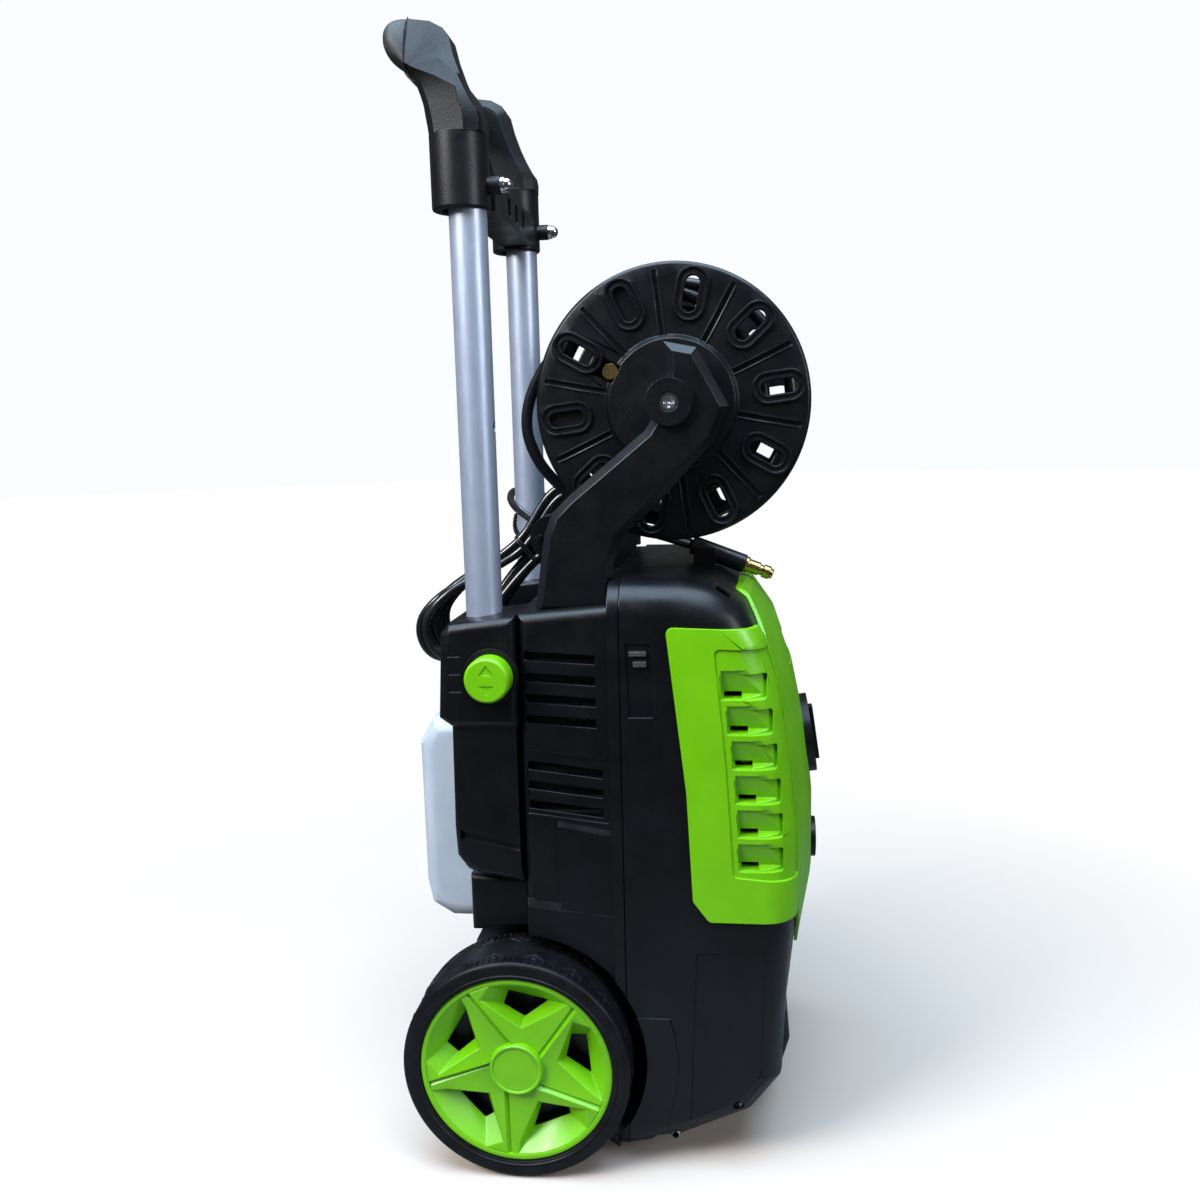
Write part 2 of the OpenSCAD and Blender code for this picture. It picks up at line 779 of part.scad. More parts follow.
module button(side) color(lime) on_side(side) difference() {
    union() {
        rod_x(boss_out, button_out - 2, button_y, button_z, button_r);
        translate([button_out - 2, button_y, button_z]) rotate([0, 90, 0])
            cylinder(h = 2, r1 = button_r, r2 = button_r - 1.6);
        rod_x(tube_x + tube_r + 4 + button_press + 0.5, boss_out, button_y, button_z, stem_r);
    }
    for (s = [-1, 1]) slab(button_out - 0.7, button_out + 1) translate([button_y, button_z + s * 4])
        polygon([[-5.5, 0], [5.5, 0], [0, s * 7.5]]);
}

module button_rings() color(trim_black) both_sides() difference() {
    rod_x(boss_out, boss_out + 4, button_y, button_z, 21);
    rod_x(boss_out - 1, boss_out + 5, button_y, button_z, button_r + gap);
}

// A release spring is kept as a sleeve of its outer size
spring_in = tube_x + tube_r + 4;
spring_out = boss_out - 9.2;
module button_spring(side) color(steel) on_side(side) difference() {
    rod_x(spring_in, spring_out, button_y, button_z, 9.4);
    rod_x(spring_in - 1, spring_out + 1, button_y, button_z, 7);
}

// ---------------------------------------------------------------- wheels

module tyre(side) color(rubber_black) on_side(side) translate([0, axle_y, axle_z]) rotate([0, 90, 0])
    rotate_extrude($fn = 120) polygon([
        [rim_r, tyre_in + 2], [rim_r + 4, tyre_in], [rim_r + 8, tyre_in], [axle_z - 2.4, tyre_in + 5],
        [axle_z - 0.6, tyre_in + 10], [axle_z, tyre_in + 16], [axle_z, tyre_out - 16],
        [axle_z - 0.6, tyre_out - 10], [axle_z - 2.4, tyre_out - 5], [rim_r + 8, tyre_out],
        [rim_r + 4, tyre_out], [rim_r, tyre_out - 2]
    ]);

face_x = tyre_out - 4;
web_x = face_x - 8;
window_apex = 34;
window_base = 56;
module wheel(side) color(lime) on_side(side) translate([0, axle_y, axle_z]) difference() {
    union() {
        rotate([0, 90, 0]) rotate_extrude($fn = 120) polygon([
            [axle_r + fit, tyre_in + 2], [16, tyre_in + 2], [16, web_x - 5], [rim_r - 9, web_x - 5],
            [rim_r - 5, tyre_in + 4], [rim_r, tyre_in + 4], [rim_r, face_x + 1], [rim_r - 2, face_x + 2],
            [rim_r - 7, face_x], [rim_r - 8, web_x], [hub_r + 1, web_x], [hub_r + 1, face_x - 4],
            [axle_r + fit, face_x - 4]
        ]);
        for (i = [0 : spoke_count - 1]) rotate([i * 360 / spoke_count - 4.5, 0, 0]) spoke_ribs();
    }
    for (i = [0 : spoke_count - 1]) rotate([(i + 0.5) * 360 / spoke_count - 4.5, 0, 0]) wheel_window();
}

// Two raised lines of one spoke, running out along -Y from the hub into the rim
module spoke_ribs() for (s = [-1, 1]) slab(web_x - 1, web_x + 2.5) polygon([
    [-hub_r + 1, s * 2.5], [-hub_r + 1, s * 6], [-rim_r + 6, s * 17], [-rim_r + 6, s * 12.5]
]);

module wheel_window() slab(web_x - 6, web_x + 1) polygon([
    [-window_apex, 0], [-window_base + 3, 14], [-window_base, 12], [-window_base - 1.5, 0],
    [-window_base, -12], [-window_base + 3, -14]
]);

module hub_cap(side) color(lime) on_side(side) {
    rod_x(face_x - 4, tyre_out - 1.5, axle_y, axle_z, hub_r);
    translate([tyre_out - 1.5, axle_y, axle_z]) rotate([0, 90, 0]) cylinder(h = 1.5, r1 = hub_r, r2 = hub_r - 1.5);
}

// ---------------------------------------------------------------- reel

// Places children on the reel at an angle seen from the right side, x pointing outwards
module around_reel(a) translate([0, reel_y, reel_z]) rotate([a, 0, 0]) children();

// Slots, pockets and grooves repeat by sector
sector = 360 / sector_count;
closed_sectors = [5, 7];
module flange(side) color(shell_black) mirror([side < 0 ? 0 : 1, 0, 0]) difference() {
    union() {
        around_reel(0) rotate([0, -90, 0]) rotate_extrude($fn = 120) polygon([
            [shaft_r, flange_out - flange_t], [flange_r - 1, flange_out - flange_t],
            [flange_r, flange_out - flange_t + 1], [flange_r, flange_out - 3.5],
            [flange_r - 2, flange_out - 1.6], [93, flange_out], [50, flange_out],
            [47, flange_out + 4], [30, flange_out + 4], [12, flange_out + 6],
            [12, arm_in - 0.5], [shaft_r, arm_in - 0.5]
        ]);
        for (k = [0 : sector_count - 1]) around_reel(-7 + k * sector) slab(-flange_out - 1, -flange_out + 1)
            translate([-80, 0]) slot_2d(40, 24);
    }
    for (k = [0 : sector_count - 1]) {
        around_reel(-25 + k * sector) box([-flange_out - 1, -97, -1.6], [-flange_out + 2, -50, 1.6]);
        around_reel(-7 + k * sector)
            slab(-flange_out - 2, len(search(k, closed_sectors)) > 0 ? -flange_out + 2.5 : 0)
                translate([-80, 0]) slot_2d(27, 11);
    }
    around_reel(-152 + 180) box([-flange_out - 10, 46, -7], [0, 64, 7]);
}

module drum() color(trim_black) around_reel(0) difference() {
    rod_x(-flange_out + flange_t, flange_out - flange_t, 0, 0, drum_r);
    rod_x(-flange_out, flange_out, 0, 0, drum_r - drum_wall);
}

module reel_axle() color(steel) rod_x(-arm_out, 133, reel_y, reel_z, shaft_r);

module reel_screw() color(steel) around_reel(0) difference() {
    rod_x(-arm_out - 3, -arm_out, 0, 0, 5.5);
    for (a = [0, 90]) rotate([a, 0, 0]) translate([-arm_out - 3, 0, 0]) cube([2.4, 7, 1.2], center = true);
}

// Brass elbow that feeds the wound hose, seen through the window beside a slot
module hose_connector() color(brass) around_reel(-152 + 180) {
    rod_x(-flange_out + 1, -40, 52, 0, 6);
    rod_x(-70, -58, 52, 0, 7.5);
    rod_y(52, drum_r - drum_wall + 1, -46, 0, 5);
}

module hose_coil() color(rubber_black) around_reel(0) difference() {
    rod_x(-flange_out + flange_t + 2, flange_out - flange_t - 2, 0, 0, coil_r);
    rod_x(-flange_out, flange_out, 0, 0, drum_r);
}

module hose_tail() color(rubber_black) swept(HOSE_ROUTE, 4, hose_d / 2, 10);

sleeve_dir = unit(SLEEVE_END - SLEEVE_START);
module hose_sleeve() color(rubber_black) bar(SLEEVE_START, SLEEVE_END, sleeve_r);

module hose_fitting() color(brass) {
    bar(SLEEVE_END, SLEEVE_END + sleeve_dir * 3, 6.8);
    bar(SLEEVE_END + sleeve_dir * 3, SLEEVE_END + sleeve_dir * 13, 5.6);
    bar(SLEEVE_END + sleeve_dir * 13, SLEEVE_END + sleeve_dir * 16, 4.4);
    bar(SLEEVE_END + sleeve_dir * 16, SLEEVE_END + sleeve_dir * 22, 5.6);
    bar(SLEEVE_END + sleeve_dir * 22, FITTING_END, 4.6, 4);
}

// Winding crank on the left end of the reel's axle
module crank() color(trim_black) around_reel(-60) difference() {
    union() {
        rod_x(arm_boss_out + 1, 136, 0, 0, 15);
        box([arm_boss_out + 3, -crank_reach, -9], [arm_boss_out + 9, 0, 9]);
        rod_x(arm_boss_out + 3, arm_boss_out + 9, -crank_reach, 0, 11);
        rod_x(arm_boss_out + 9, 156, -crank_reach, 0, 4);
    }
    rod_x(arm_boss_out, 133, 0, 0, shaft_r);
}

module crank_knob() color(shell_black) around_reel(-60) difference() {
    union() {
        rod_x(arm_boss_out + 9.5, 156, -crank_reach, 0, 10);
        rod_x(156, 158, -crank_reach, 0, 8.5);
    }
    rod_x(arm_boss_out, 156.2, -crank_reach, 0, 4 + fit);
}

function deck_height(y) = deck_z + 3.05 - (y + 50) * 10 / (wall_y + 50);

module arm(side) color(shell_black) on_side(side) difference() {
    union() {
        loft([
            [arm_in, inset(ARM_SIDE, 2)], [arm_in + 2, ARM_SIDE], [arm_out - 6, ARM_SIDE],
            [arm_out, inset(ARM_SIDE, 6)]
        ]);
        rod_x(arm_in + 1, arm_boss_out, reel_y, reel_z, arm_boss_r);
    }
    rod_x(arm_in - 1, side < 0 ? arm_out + 1 : 150, reel_y, reel_z, shaft_r + fit);
    rod_x(arm_out, 150, reel_y, reel_z, 7);
    slab(0, 200) polygon([
        [-80, 420], [62, 420], [62, deck_height(62)], [strip_y + 0.5, deck_height(strip_y + 0.5)],
        [strip_y + 0.5, front_top + 0.5], [-80, front_top + 0.5]
    ]);
}

// ---------------------------------------------------------------- cord

module cord_gland() color(trim_black) translate([gland_x, gland_y, 0]) difference() {
    union() {
        translate([0, 0, deck_z - 8]) cylinder(h = 6, r = 6);
        translate([0, 0, deck_z]) cylinder(h = 4, r = 9);
        translate([0, 0, deck_z - 4]) cylinder(h = 16, r1 = 6, r2 = 5.4);
    }
}

module power_cord() color(rubber_black) swept(CORD_ROUTE, 3, cord_d / 2, 8);

// The hank's outline: a bundle with round ends, bent over the back of the machine
module hank_outline() hull() {
    translate(hank_low) circle(r = hank_low_r, $fn = 32);
    translate(hank_high) circle(r = hank_high_r, $fn = 32);
}
module cord_hank() color(rubber_black) slab(-hank_half, hank_half) hank_outline();

// One band round the hank's waist
module cord_ties() color(trim_black) difference() {
    intersection() {
        slab(-hank_half - tie_t, hank_half + tie_t) offset(delta = tie_t) hank_outline();
        translate([0, hank_waist[0], hank_waist[1]])
            rotate([atan2(hank_high[1] - hank_low[1], hank_high[0] - hank_low[0]), 0, 0])
            cube([100, tie_w, 100], center = true);
    }
    slab(-hank_half - fit, hank_half + fit) offset(delta = fit) hank_outline();
}

module plug() color(rubber_black) {
    translate(plug_end) rotate([0, -90, 0]) {
        cylinder(h = 12, r1 = 4.5, r2 = 7);
        translate([0, 0, 12]) cylinder(h = 10, r1 = 7, r2 = 17);
        translate([0, 0, 22]) cylinder(h = 16, r = 18);
        for (s = [-9.5, 9.5]) translate([0, s, 38]) cylinder(h = 18, r = 2.4);
    }
}

module side_clips() color(steel) both_sides() slab(front_half - 2, front_half + 1) {
    translate([-36, 412.5]) square([13, 3.4]);
    translate([-36, 404.5]) square([10, 4]);
}

// ---------------------------------------------------------------- assembly

rear_housing();
front_housing();
column(1);  // column_left
column(-1);  // column_right
side_panel(1);  // side_panel_left
side_panel(-1);  // side_panel_right
front_panel();
arm(1);  // arm_left
arm(-1);  // arm_right
front_foot();
foot_pads();
axle();
motor();
motor_fan();
pump();
switch_box();
water_inlet();
switch_bezel();
knob();
detergent_tank();
tank_cap();
tube(1);  // tube_left
tube(-1);  // tube_right
grip(1);  // grip_left
grip(-1);  // grip_right
grip_bar();
crossbar();
handle_bolts();
bolt_collars();
dome_nuts();
button(1);  // button_left
button(-1);  // button_right
button_rings();
button_spring(1);  // button_spring_left
button_spring(-1);  // button_spring_right
tyre(1);  // tyre_left
tyre(-1);  // tyre_right
wheel(1);  // wheel_left
wheel(-1);  // wheel_right
hub_cap(1);  // hub_cap_left
hub_cap(-1);  // hub_cap_right
flange(1);  // flange_left
flange(-1);  // flange_right
drum();
reel_axle();
reel_screw();
hose_connector();
hose_coil();
hose_tail();
hose_sleeve();
hose_fitting();
crank();
crank_knob();
cord_gland();
power_cord();
cord_hank();
plug();
cord_ties();
side_clips();
housing_screws();
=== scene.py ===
"""Looks of the upright pressure washer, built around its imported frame.

Axes: -X is the side nearest the camera, -Y the front, +Z up. Lengths are in metres.
"""
import json
import math
import bpy
from mathutils import Matrix, Vector


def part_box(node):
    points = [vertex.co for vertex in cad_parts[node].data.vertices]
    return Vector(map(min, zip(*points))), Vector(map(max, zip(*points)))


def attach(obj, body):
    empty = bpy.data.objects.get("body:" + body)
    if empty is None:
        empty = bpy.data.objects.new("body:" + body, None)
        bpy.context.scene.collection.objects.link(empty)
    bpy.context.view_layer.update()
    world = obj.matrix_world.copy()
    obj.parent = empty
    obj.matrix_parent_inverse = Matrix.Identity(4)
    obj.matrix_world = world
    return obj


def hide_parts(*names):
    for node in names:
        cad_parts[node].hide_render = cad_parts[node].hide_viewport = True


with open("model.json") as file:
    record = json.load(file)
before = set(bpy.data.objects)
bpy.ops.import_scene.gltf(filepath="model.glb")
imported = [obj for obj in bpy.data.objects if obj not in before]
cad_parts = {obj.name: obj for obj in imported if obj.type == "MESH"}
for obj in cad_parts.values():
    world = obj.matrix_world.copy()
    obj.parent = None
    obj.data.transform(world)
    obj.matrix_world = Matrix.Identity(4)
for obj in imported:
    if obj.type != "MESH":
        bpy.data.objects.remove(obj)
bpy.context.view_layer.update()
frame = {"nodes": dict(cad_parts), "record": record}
NODES = frame["nodes"]
MM = 0.001
TURN = 2 * math.pi


# ---------------------------------------------------------------- camera and light

SENSOR_MM, LENS_MM = 36, 32.7
CAMERA_PLACE = (-0.912756, -0.104587, 0.578401)
CAMERA_RIGHT = (0.12577297, -0.99174849, -0.02482104)
CAMERA_UP = (0.15901296, -0.00454293, 0.98726604)
CAMERA_BACK = (-0.97923237, -0.12811825, 0.15712949)


def make_camera():
    data = bpy.data.cameras.new("camera")
    data.sensor_width = SENSOR_MM
    data.lens = LENS_MM
    data.clip_start = 0.01
    camera = bpy.data.objects.new("camera", data)
    axes = Matrix((CAMERA_RIGHT, CAMERA_UP, CAMERA_BACK)).transposed().to_4x4()
    camera.matrix_world = Matrix.Translation(CAMERA_PLACE) @ axes
    bpy.context.scene.collection.objects.link(camera)
    bpy.context.scene.camera = camera


# Name, place, size, power in watts and colour of each area light; all of them aim at the middle of the object
LIGHTS = [
    ("key", (-1.5, 1.6, 1.9), (1.0, 0.8), 66, (1.0, 0.98, 0.96)),
    ("top", (-0.45, 0.1, 2.4), (2.6, 2.0), 130, (0.60, 0.79, 1.0)),
    ("front", (-1.2, -2.4, 1.3), (0.8, 1.2), 26, (0.93, 0.96, 1.0)),
]
LIGHT_TARGET = (0, 0, 0.45)
WORLD_COLOUR = (0.96, 0.98, 1.0, 1)
WORLD_GLOW = 0.10  # the world's strength for every ray but the camera's, which sees it at 1


def add_area_light(name, place, size, power, colour):
    data = bpy.data.lights.new(name, "AREA")
    data.shape = "RECTANGLE"
    data.size, data.size_y = size
    data.energy = power
    data.color = colour
    light = bpy.data.objects.new(name, data)
    light.location = place
    aim = Vector(LIGHT_TARGET) - Vector(place)
    light.rotation_euler = aim.to_track_quat("-Z", "Y").to_euler()
    bpy.context.scene.collection.objects.link(light)


def make_light():
    world = bpy.data.worlds.new("studio")
    world.use_nodes = True
    background = world.node_tree.nodes["Background"]
    background.inputs["Color"].default_value = WORLD_COLOUR
    seen = world.node_tree.nodes.new("ShaderNodeLightPath")
    strength = world.node_tree.nodes.new("ShaderNodeMapRange")
    strength.inputs["To Min"].default_value = WORLD_GLOW
    strength.inputs["To Max"].default_value = 1.0
    world.node_tree.links.new(seen.outputs["Is Camera Ray"], strength.inputs["Value"])
    world.node_tree.links.new(strength.outputs["Result"], background.inputs["Strength"])
    bpy.context.scene.world = world
    bpy.context.scene.view_settings.view_transform = "Standard"
    for light in LIGHTS:
        add_area_light(*light)


# ---------------------------------------------------------------- materials


class Paint:
    """One procedural material, with its nodes wired by short calls."""

    def __init__(self, name, colour, roughness, metallic=0.0):
        self.material = bpy.data.materials.new(name)
        self.material.use_nodes = True
        self.tree = self.material.node_tree
        self.shader = self.tree.nodes["Principled BSDF"]
        self.set("Base Color", (*colour, 1))
        self.set("Roughness", roughness)
        self.set("Metallic", metallic)
        self.colour, self.roughness = colour, roughness
        self.normal = None

    def set(self, socket, value):
        """Sets one of the shader's own sockets, and returns the paint for the next call."""
        self.shader.inputs[socket].default_value = value
        return self

    def add(self, kind, **inputs):
        """Adds a node; each named input is a value, or another node's output to link."""
        made = self.tree.nodes.new(kind)
        for name, value in inputs.items():
            socket = made.inputs[name.replace("_", " ")]
            if isinstance(value, bpy.types.NodeSocket):
                self.tree.links.new(value, socket)
            else:
                socket.default_value = value
        return made

    def place(self, stretch=(1, 1, 1)):
        """Coordinates in metres, the same on every piece, because pieces sit at the origin."""
        source = self.add("ShaderNodeTexCoord").outputs["Object"]
        return self.add("ShaderNodeMapping", Vector=source, Scale=stretch).outputs["Vector"]

    def noise(self, size, detail=3.0, stretch=(1, 1, 1)):
        """Soft noise whose blobs are about size metres across."""
        where = self.place(stretch)
        node = self.add("ShaderNodeTexNoise", Vector=where, Scale=1 / size, Detail=detail, Roughness=0.6)
        return node.outputs["Fac"]

    def cells(self, size):
        """Rounded cells of about size metres, for a moulded grain."""
        node = self.add("ShaderNodeTexVoronoi", Vector=self.place(), Scale=1 / size)
        node.feature = "SMOOTH_F1"
        return node.outputs["Distance"]

    def spread(self, source, low, high, start=0.3, end=0.7):
        """The source, mapped from start and end to low and high."""
        node = self.add("ShaderNodeMapRange", Value=source)
        limits = {"From Min": start, "From Max": end, "To Min": low, "To Max": high}
        for name, value in limits.items():
            node.inputs[name].default_value = value
        return node.outputs["Result"]

    def tint(self, source, other, start=0.35, end=0.65):
        """Drifts from the colour to another where the source is high."""
        node = self.tree.nodes.new("ShaderNodeMix")
        node.data_type = "RGBA"
        node.inputs["A"].default_value = (*self.colour, 1)
        node.inputs["B"].default_value = (*other, 1)
        self.tree.links.new(self.spread(source, 0, 1, start, end), node.inputs["Factor"])
        self.tree.links.new(node.outputs["Result"], self.shader.inputs["Base Color"])
        return self

    def gloss(self, source, swing):
        """Varies the roughness by swing to either side."""
        out = self.spread(source, self.roughness - swing, self.roughness + swing)
        self.tree.links.new(out, self.shader.inputs["Roughness"])
        return self

    def relief(self, source, depth, strength=1.0):
        """Adds a bump of that depth in metres to those before it."""
        node = self.add("ShaderNodeBump", Height=source, Distance=depth, Strength=strength)
        if self.normal:
            self.tree.links.new(self.normal, node.inputs["Normal"])
        self.normal = node.outputs["Normal"]
        self.tree.links.new(self.normal, self.shader.inputs["Normal"])
        return self


def moulded(name, colour, worn, roughness, grain, depth):
    """Injection moulded plastic: spark-eroded grain, faint flow marks and rubbed patches."""
    paint = Paint(name, colour, roughness)
    paint.tint(paint.noise(0.045), worn)
    paint.gloss(paint.noise(0.02, 5.0), 0.07)
    paint.relief(paint.cells(grain), depth)
    paint.relief(paint.noise(0.03), 0.0004, 0.15)
    return paint


def rubber(name, colour, roughness, grain=0.0009, depth=0.00005):
    """Rubber: a lighter bloom in patches and a fine uneven skin."""
    paint = Paint(name, colour, roughness)
    paint.tint(paint.noise(0.02, 4.0), tuple(c * 1.7 + 0.003 for c in colour))
    paint.gloss(paint.noise(0.006, 5.0), 0.06)
    paint.relief(paint.noise(grain, 2.0), depth)
    return paint


def metal(name, colour, stain, roughness, stretch=(1, 1, 1), line=0.0006, depth=0.00002):
    """Metal with fine lines along the stretched axis and a drifting stain."""
    paint = Paint(name, colour, roughness, 1.0)
    paint.tint(paint.noise(0.012, 4.0), stain)
    paint.gloss(paint.noise(line, 2.0, stretch), 0.08)
    paint.relief(paint.noise(line, 2.0, stretch), depth)
    return paint


def make_materials():
    paints = {
        "shell": moulded(
            "shell", (0.0024, 0.0026, 0.0036), (0.004, 0.0044, 0.006), 0.34, 0.0011, 0.00006
        ),
        "trim": moulded("trim", (0.003, 0.003, 0.0038), (0.005, 0.005, 0.0065), 0.4, 0.0009, 0.00007),
        "lime": moulded("lime", (0.175, 0.53, 0.0015), (0.155, 0.48, 0.0015), 0.36, 0.0014, 0.00002),
        "rubber": rubber("rubber", (0.012, 0.012, 0.012), 0.72),
        "grip_skin": rubber("grip_skin", (0.014, 0.014, 0.016), 0.55, 0.0012, 0.00012),
        "tyre": rubber("tyre", (0.003, 0.0032, 0.0042), 0.42, 0.0014, 0.00006),
        "hose_rubber": rubber("hose_rubber", (0.008, 0.008, 0.0095), 0.34, 0.0016, 0.00003),
        "cord": rubber("cord", (0.006, 0.006, 0.007), 0.24, 0.0035, 0.00004),
        "steel": metal("steel", (0.62, 0.63, 0.66), (0.46, 0.46, 0.48), 0.30),
        "chrome": metal("chrome", (0.80, 0.80, 0.84), (0.70, 0.70, 0.74), 0.12, depth=0.000004),
        "anodised": metal(
            "anodised", (0.50, 0.56, 0.69), (0.47, 0.52, 0.65), 0.42, (1, 1, 0.02), 0.0005, 0.000012
        ),
        "motor_iron": metal("motor_iron", (0.16, 0.16, 0.17), (0.10, 0.09, 0.08), 0.5, depth=0.0001),
        "pump_alloy": metal("pump_alloy", (0.55, 0.56, 0.57), (0.42, 0.42, 0.43), 0.48, depth=0.0001),
        "brass": metal("brass", (0.66, 0.47, 0.20), (0.50, 0.34, 0.14), 0.24),
        "milky": moulded("milky", (0.70, 0.77, 0.86), (0.62, 0.70, 0.80), 0.38, 0.0016, 0.00003),
    }
    for name in ("shell", "trim"):
        paints[name].set("Specular IOR Level", 0.36)
    for name in ("tyre", "rubber"):
        paints[name].set("Specular IOR Level", 0.2)
    paints["anodised"].set("Metallic", 0.62)
    paints["lime"].set("Coat Weight", 0.12).set("Coat Roughness", 0.25)
    paints["lime"].set("Subsurface Weight", 0.08).set("Subsurface Radius", (0.004, 0.006, 0.001))
    paints["cord"].set("Coat Weight", 0.4).set("Coat Roughness", 0.15)
    paints["milky"].set("Subsurface Weight", 0.6).set("Subsurface Radius", (0.02, 0.02, 0.024))
    paints["milky"].set("Transmission Weight", 0.25)
    return {name: paint.material for name, paint in paints.items()}


# ---------------------------------------------------------------- pieces


def add_piece(name, data, material, body, replaced=()):
    """A visible piece on a body, in place of the CAD nodes that it replaces."""
    piece = bpy.data.objects.new(name, data)
    bpy.context.scene.collection.objects.link(piece)
    data.materials.append(MATERIALS[material])
    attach(piece, body)
    if replaced:
        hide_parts(*replaced)
    return piece


def node_group(name):
    """An empty geometry node group, with its input and output nodes."""
    group = bpy.data.node_groups.new(name, "GeometryNodeTree")
    for way in ("INPUT", "OUTPUT"):
        group.interface.new_socket("Geometry", in_out=way, socket_type="NodeSocketGeometry")
    return group, group.nodes.new("NodeGroupInput"), group.nodes.new("NodeGroupOutput")


WELD_GAP = 0.004 * MM
FLAT_ANGLE = math.radians(0.6)
BEVEL_ANGLE = math.radians(24)
SHARP_ANGLE = math.radians(38)


def make_welding():
    """Joins a CAD node's separate faces and drops its stored normals, so that its edges can be softened."""
    group, start, end = node_group("weld_faces")
    forget = group.nodes.new("GeometryNodeRemoveAttribute")
    forget.inputs["Name"].default_value = "custom_normal"
    merge = group.nodes.new("GeometryNodeMergeByDistance")
    merge.inputs["Distance"].default_value = WELD_GAP
    group.links.new(start.outputs[0], forget.inputs["Geometry"])
    group.links.new(forget.outputs["Geometry"], merge.inputs["Geometry"])
    group.links.new(merge.outputs["Geometry"], end.inputs[0])
    return group


def make_smoothing():
    """Smooth shading, with the edges sharper than SHARP_ANGLE kept."""
    group, start, end = node_group("smooth_by_angle")
    smooth = group.nodes.new("GeometryNodeSetShadeSmooth")
    sharp = group.nodes.new("GeometryNodeSetShadeSmooth")
    sharp.domain = "EDGE"
    sharp.inputs["Shade Smooth"].default_value = False
    angle = group.nodes.new("GeometryNodeInputMeshEdgeAngle")
    compare = group.nodes.new("FunctionNodeCompare")
    compare.data_type = "FLOAT"
    compare.operation = "GREATER_THAN"
    compare.inputs["B"].default_value = SHARP_ANGLE
    group.links.new(angle.outputs["Unsigned Angle"], compare.inputs["A"])
    group.links.new(compare.outputs["Result"], sharp.inputs["Selection"])
    group.links.new(start.outputs[0], smooth.inputs["Geometry"])
    group.links.new(smooth.outputs["Geometry"], sharp.inputs["Geometry"])
    group.links.new(sharp.outputs["Geometry"], end.inputs[0])
    return group


def soften(piece, width=0.6 * MM, segments=2, weld=False):
    """Rounds a piece's edges and shades it smooth between them."""
    if weld:
        piece.modifiers.new("weld", "NODES").node_group = WELDING
        flat = piece.modifiers.new("flat_faces", "DECIMATE")
        flat.decimate_type = "DISSOLVE"
        flat.angle_limit = FLAT_ANGLE
    if width:
        bevel = piece.modifiers.new("round_edges", "BEVEL")
        bevel.limit_method = "ANGLE"
        bevel.angle_limit = BEVEL_ANGLE
        bevel.width = width
        bevel.segments = segments
        bevel.use_clamp_overlap = False
    piece.modifiers.new("smooth", "NODES").node_group = SMOOTHING
    normals = piece.modifiers.new("normals", "WEIGHTED_NORMAL")
    normals.keep_sharp = True
    normals.weight = 60


def smooth_curve(points, spacing=4 * MM):
    """A Catmull-Rom line through the points, with a point about every spacing."""
    points = [Vector(p) for p in points]
    line = []
    for i in range(len(points) - 1):
        a, b = points[max(i - 1, 0)], points[i]
        c, d = points[i + 1], points[min(i + 2, len(points) - 1)]
        steps = max(1, round((c - b).length / spacing))
        for k in range(steps):
            t = k / steps
            square, cube = 2 * a - 5 * b + 4 * c - d, 3 * b - a - 3 * c + d
            line.append(0.5 * (2 * b + (c - a) * t + square * t**2 + cube * t**3))
    return line + [points[-1]]


def add_tube(name, line, diameter, material, body, replaced=()):
    """A round tube along a line of points, as a curve of one open spline."""
    data = bpy.data.curves.new(name, "CURVE")
    data.dimensions = "3D"
    data.bevel_depth = diameter / 2
    data.bevel_resolution = 4
    data.use_fill_caps = True
    spline = data.splines.new("POLY")
    spline.points.add(len(line) - 1)
    for point, place in zip(spline.points, line):
        point.co = (*place, 1)
    spline.use_smooth = True
    return add_piece(name, data, material, body, replaced)


def add_mesh(name, points, faces, side, material, body, replaced=()):
    """A mesh piece; the faces of a piece on the right are turned over, because it is a mirror image."""
    data = bpy.data.meshes.new(name)
    data.from_pydata([tuple(p) for p in points], [], [f if side > 0 else f[::-1] for f in faces])
    data.validate()
    return add_piece(name, data, material, body, replaced)


def lathe(count, steps):
    """Faces between closed outlines of count points each, with steps outlines in a circle."""
    faces = []
    for k in range(steps):
        a, b = k * count, ((k + 1) % steps) * count
        for j in range(count):
            after = (j + 1) % count
            faces.append((a + j, a + after, b + after, b + j))
    return faces


def add_turned(name, base, axis, profile, material, body, replaced=(), steps=48, width=0.3 * MM):
    """A turned piece: profile is a closed outline of (radius, height along the axis) in mm."""
    axis = Vector(axis).normalized()
    across = axis.orthogonal().normalized()
    other = axis.cross(across)
    points = []
    for k in range(steps):
        out = across * math.cos(k * TURN / steps) + other * math.sin(k * TURN / steps)
        points += [Vector(base) + axis * (h * MM) + out * (r * MM) for r, h in profile]
    soften(add_mesh(name, points, lathe(len(profile), steps), 1, material, body, replaced), width)


# ---------------------------------------------------------------- power cord

CORD_D = 7 * MM
# The loose part, from the strain relief round the left tube, in mm
CORD_ROUTE = [
    (84, 52, 462), (84.5, 52.5, 478), (92, 56, 492), (106, 62, 503), (121, 74, 511), (128, 90, 515),
    (124, 103, 519), (113, 110.5, 519), (100, 110.5, 513), (84, 102, 505.5), (62, 86, 498), (47, 76, 494),
]
# How far the handles of the joining curves reach: out of the route, into the hank, and at the plug's lead
ROUTE_REACH, HANK_REACH, PLUG_REACH = 19 * MM, 13 * MM, 15 * MM
PLUG_BACK = Vector((-22, 44, 492)) * MM

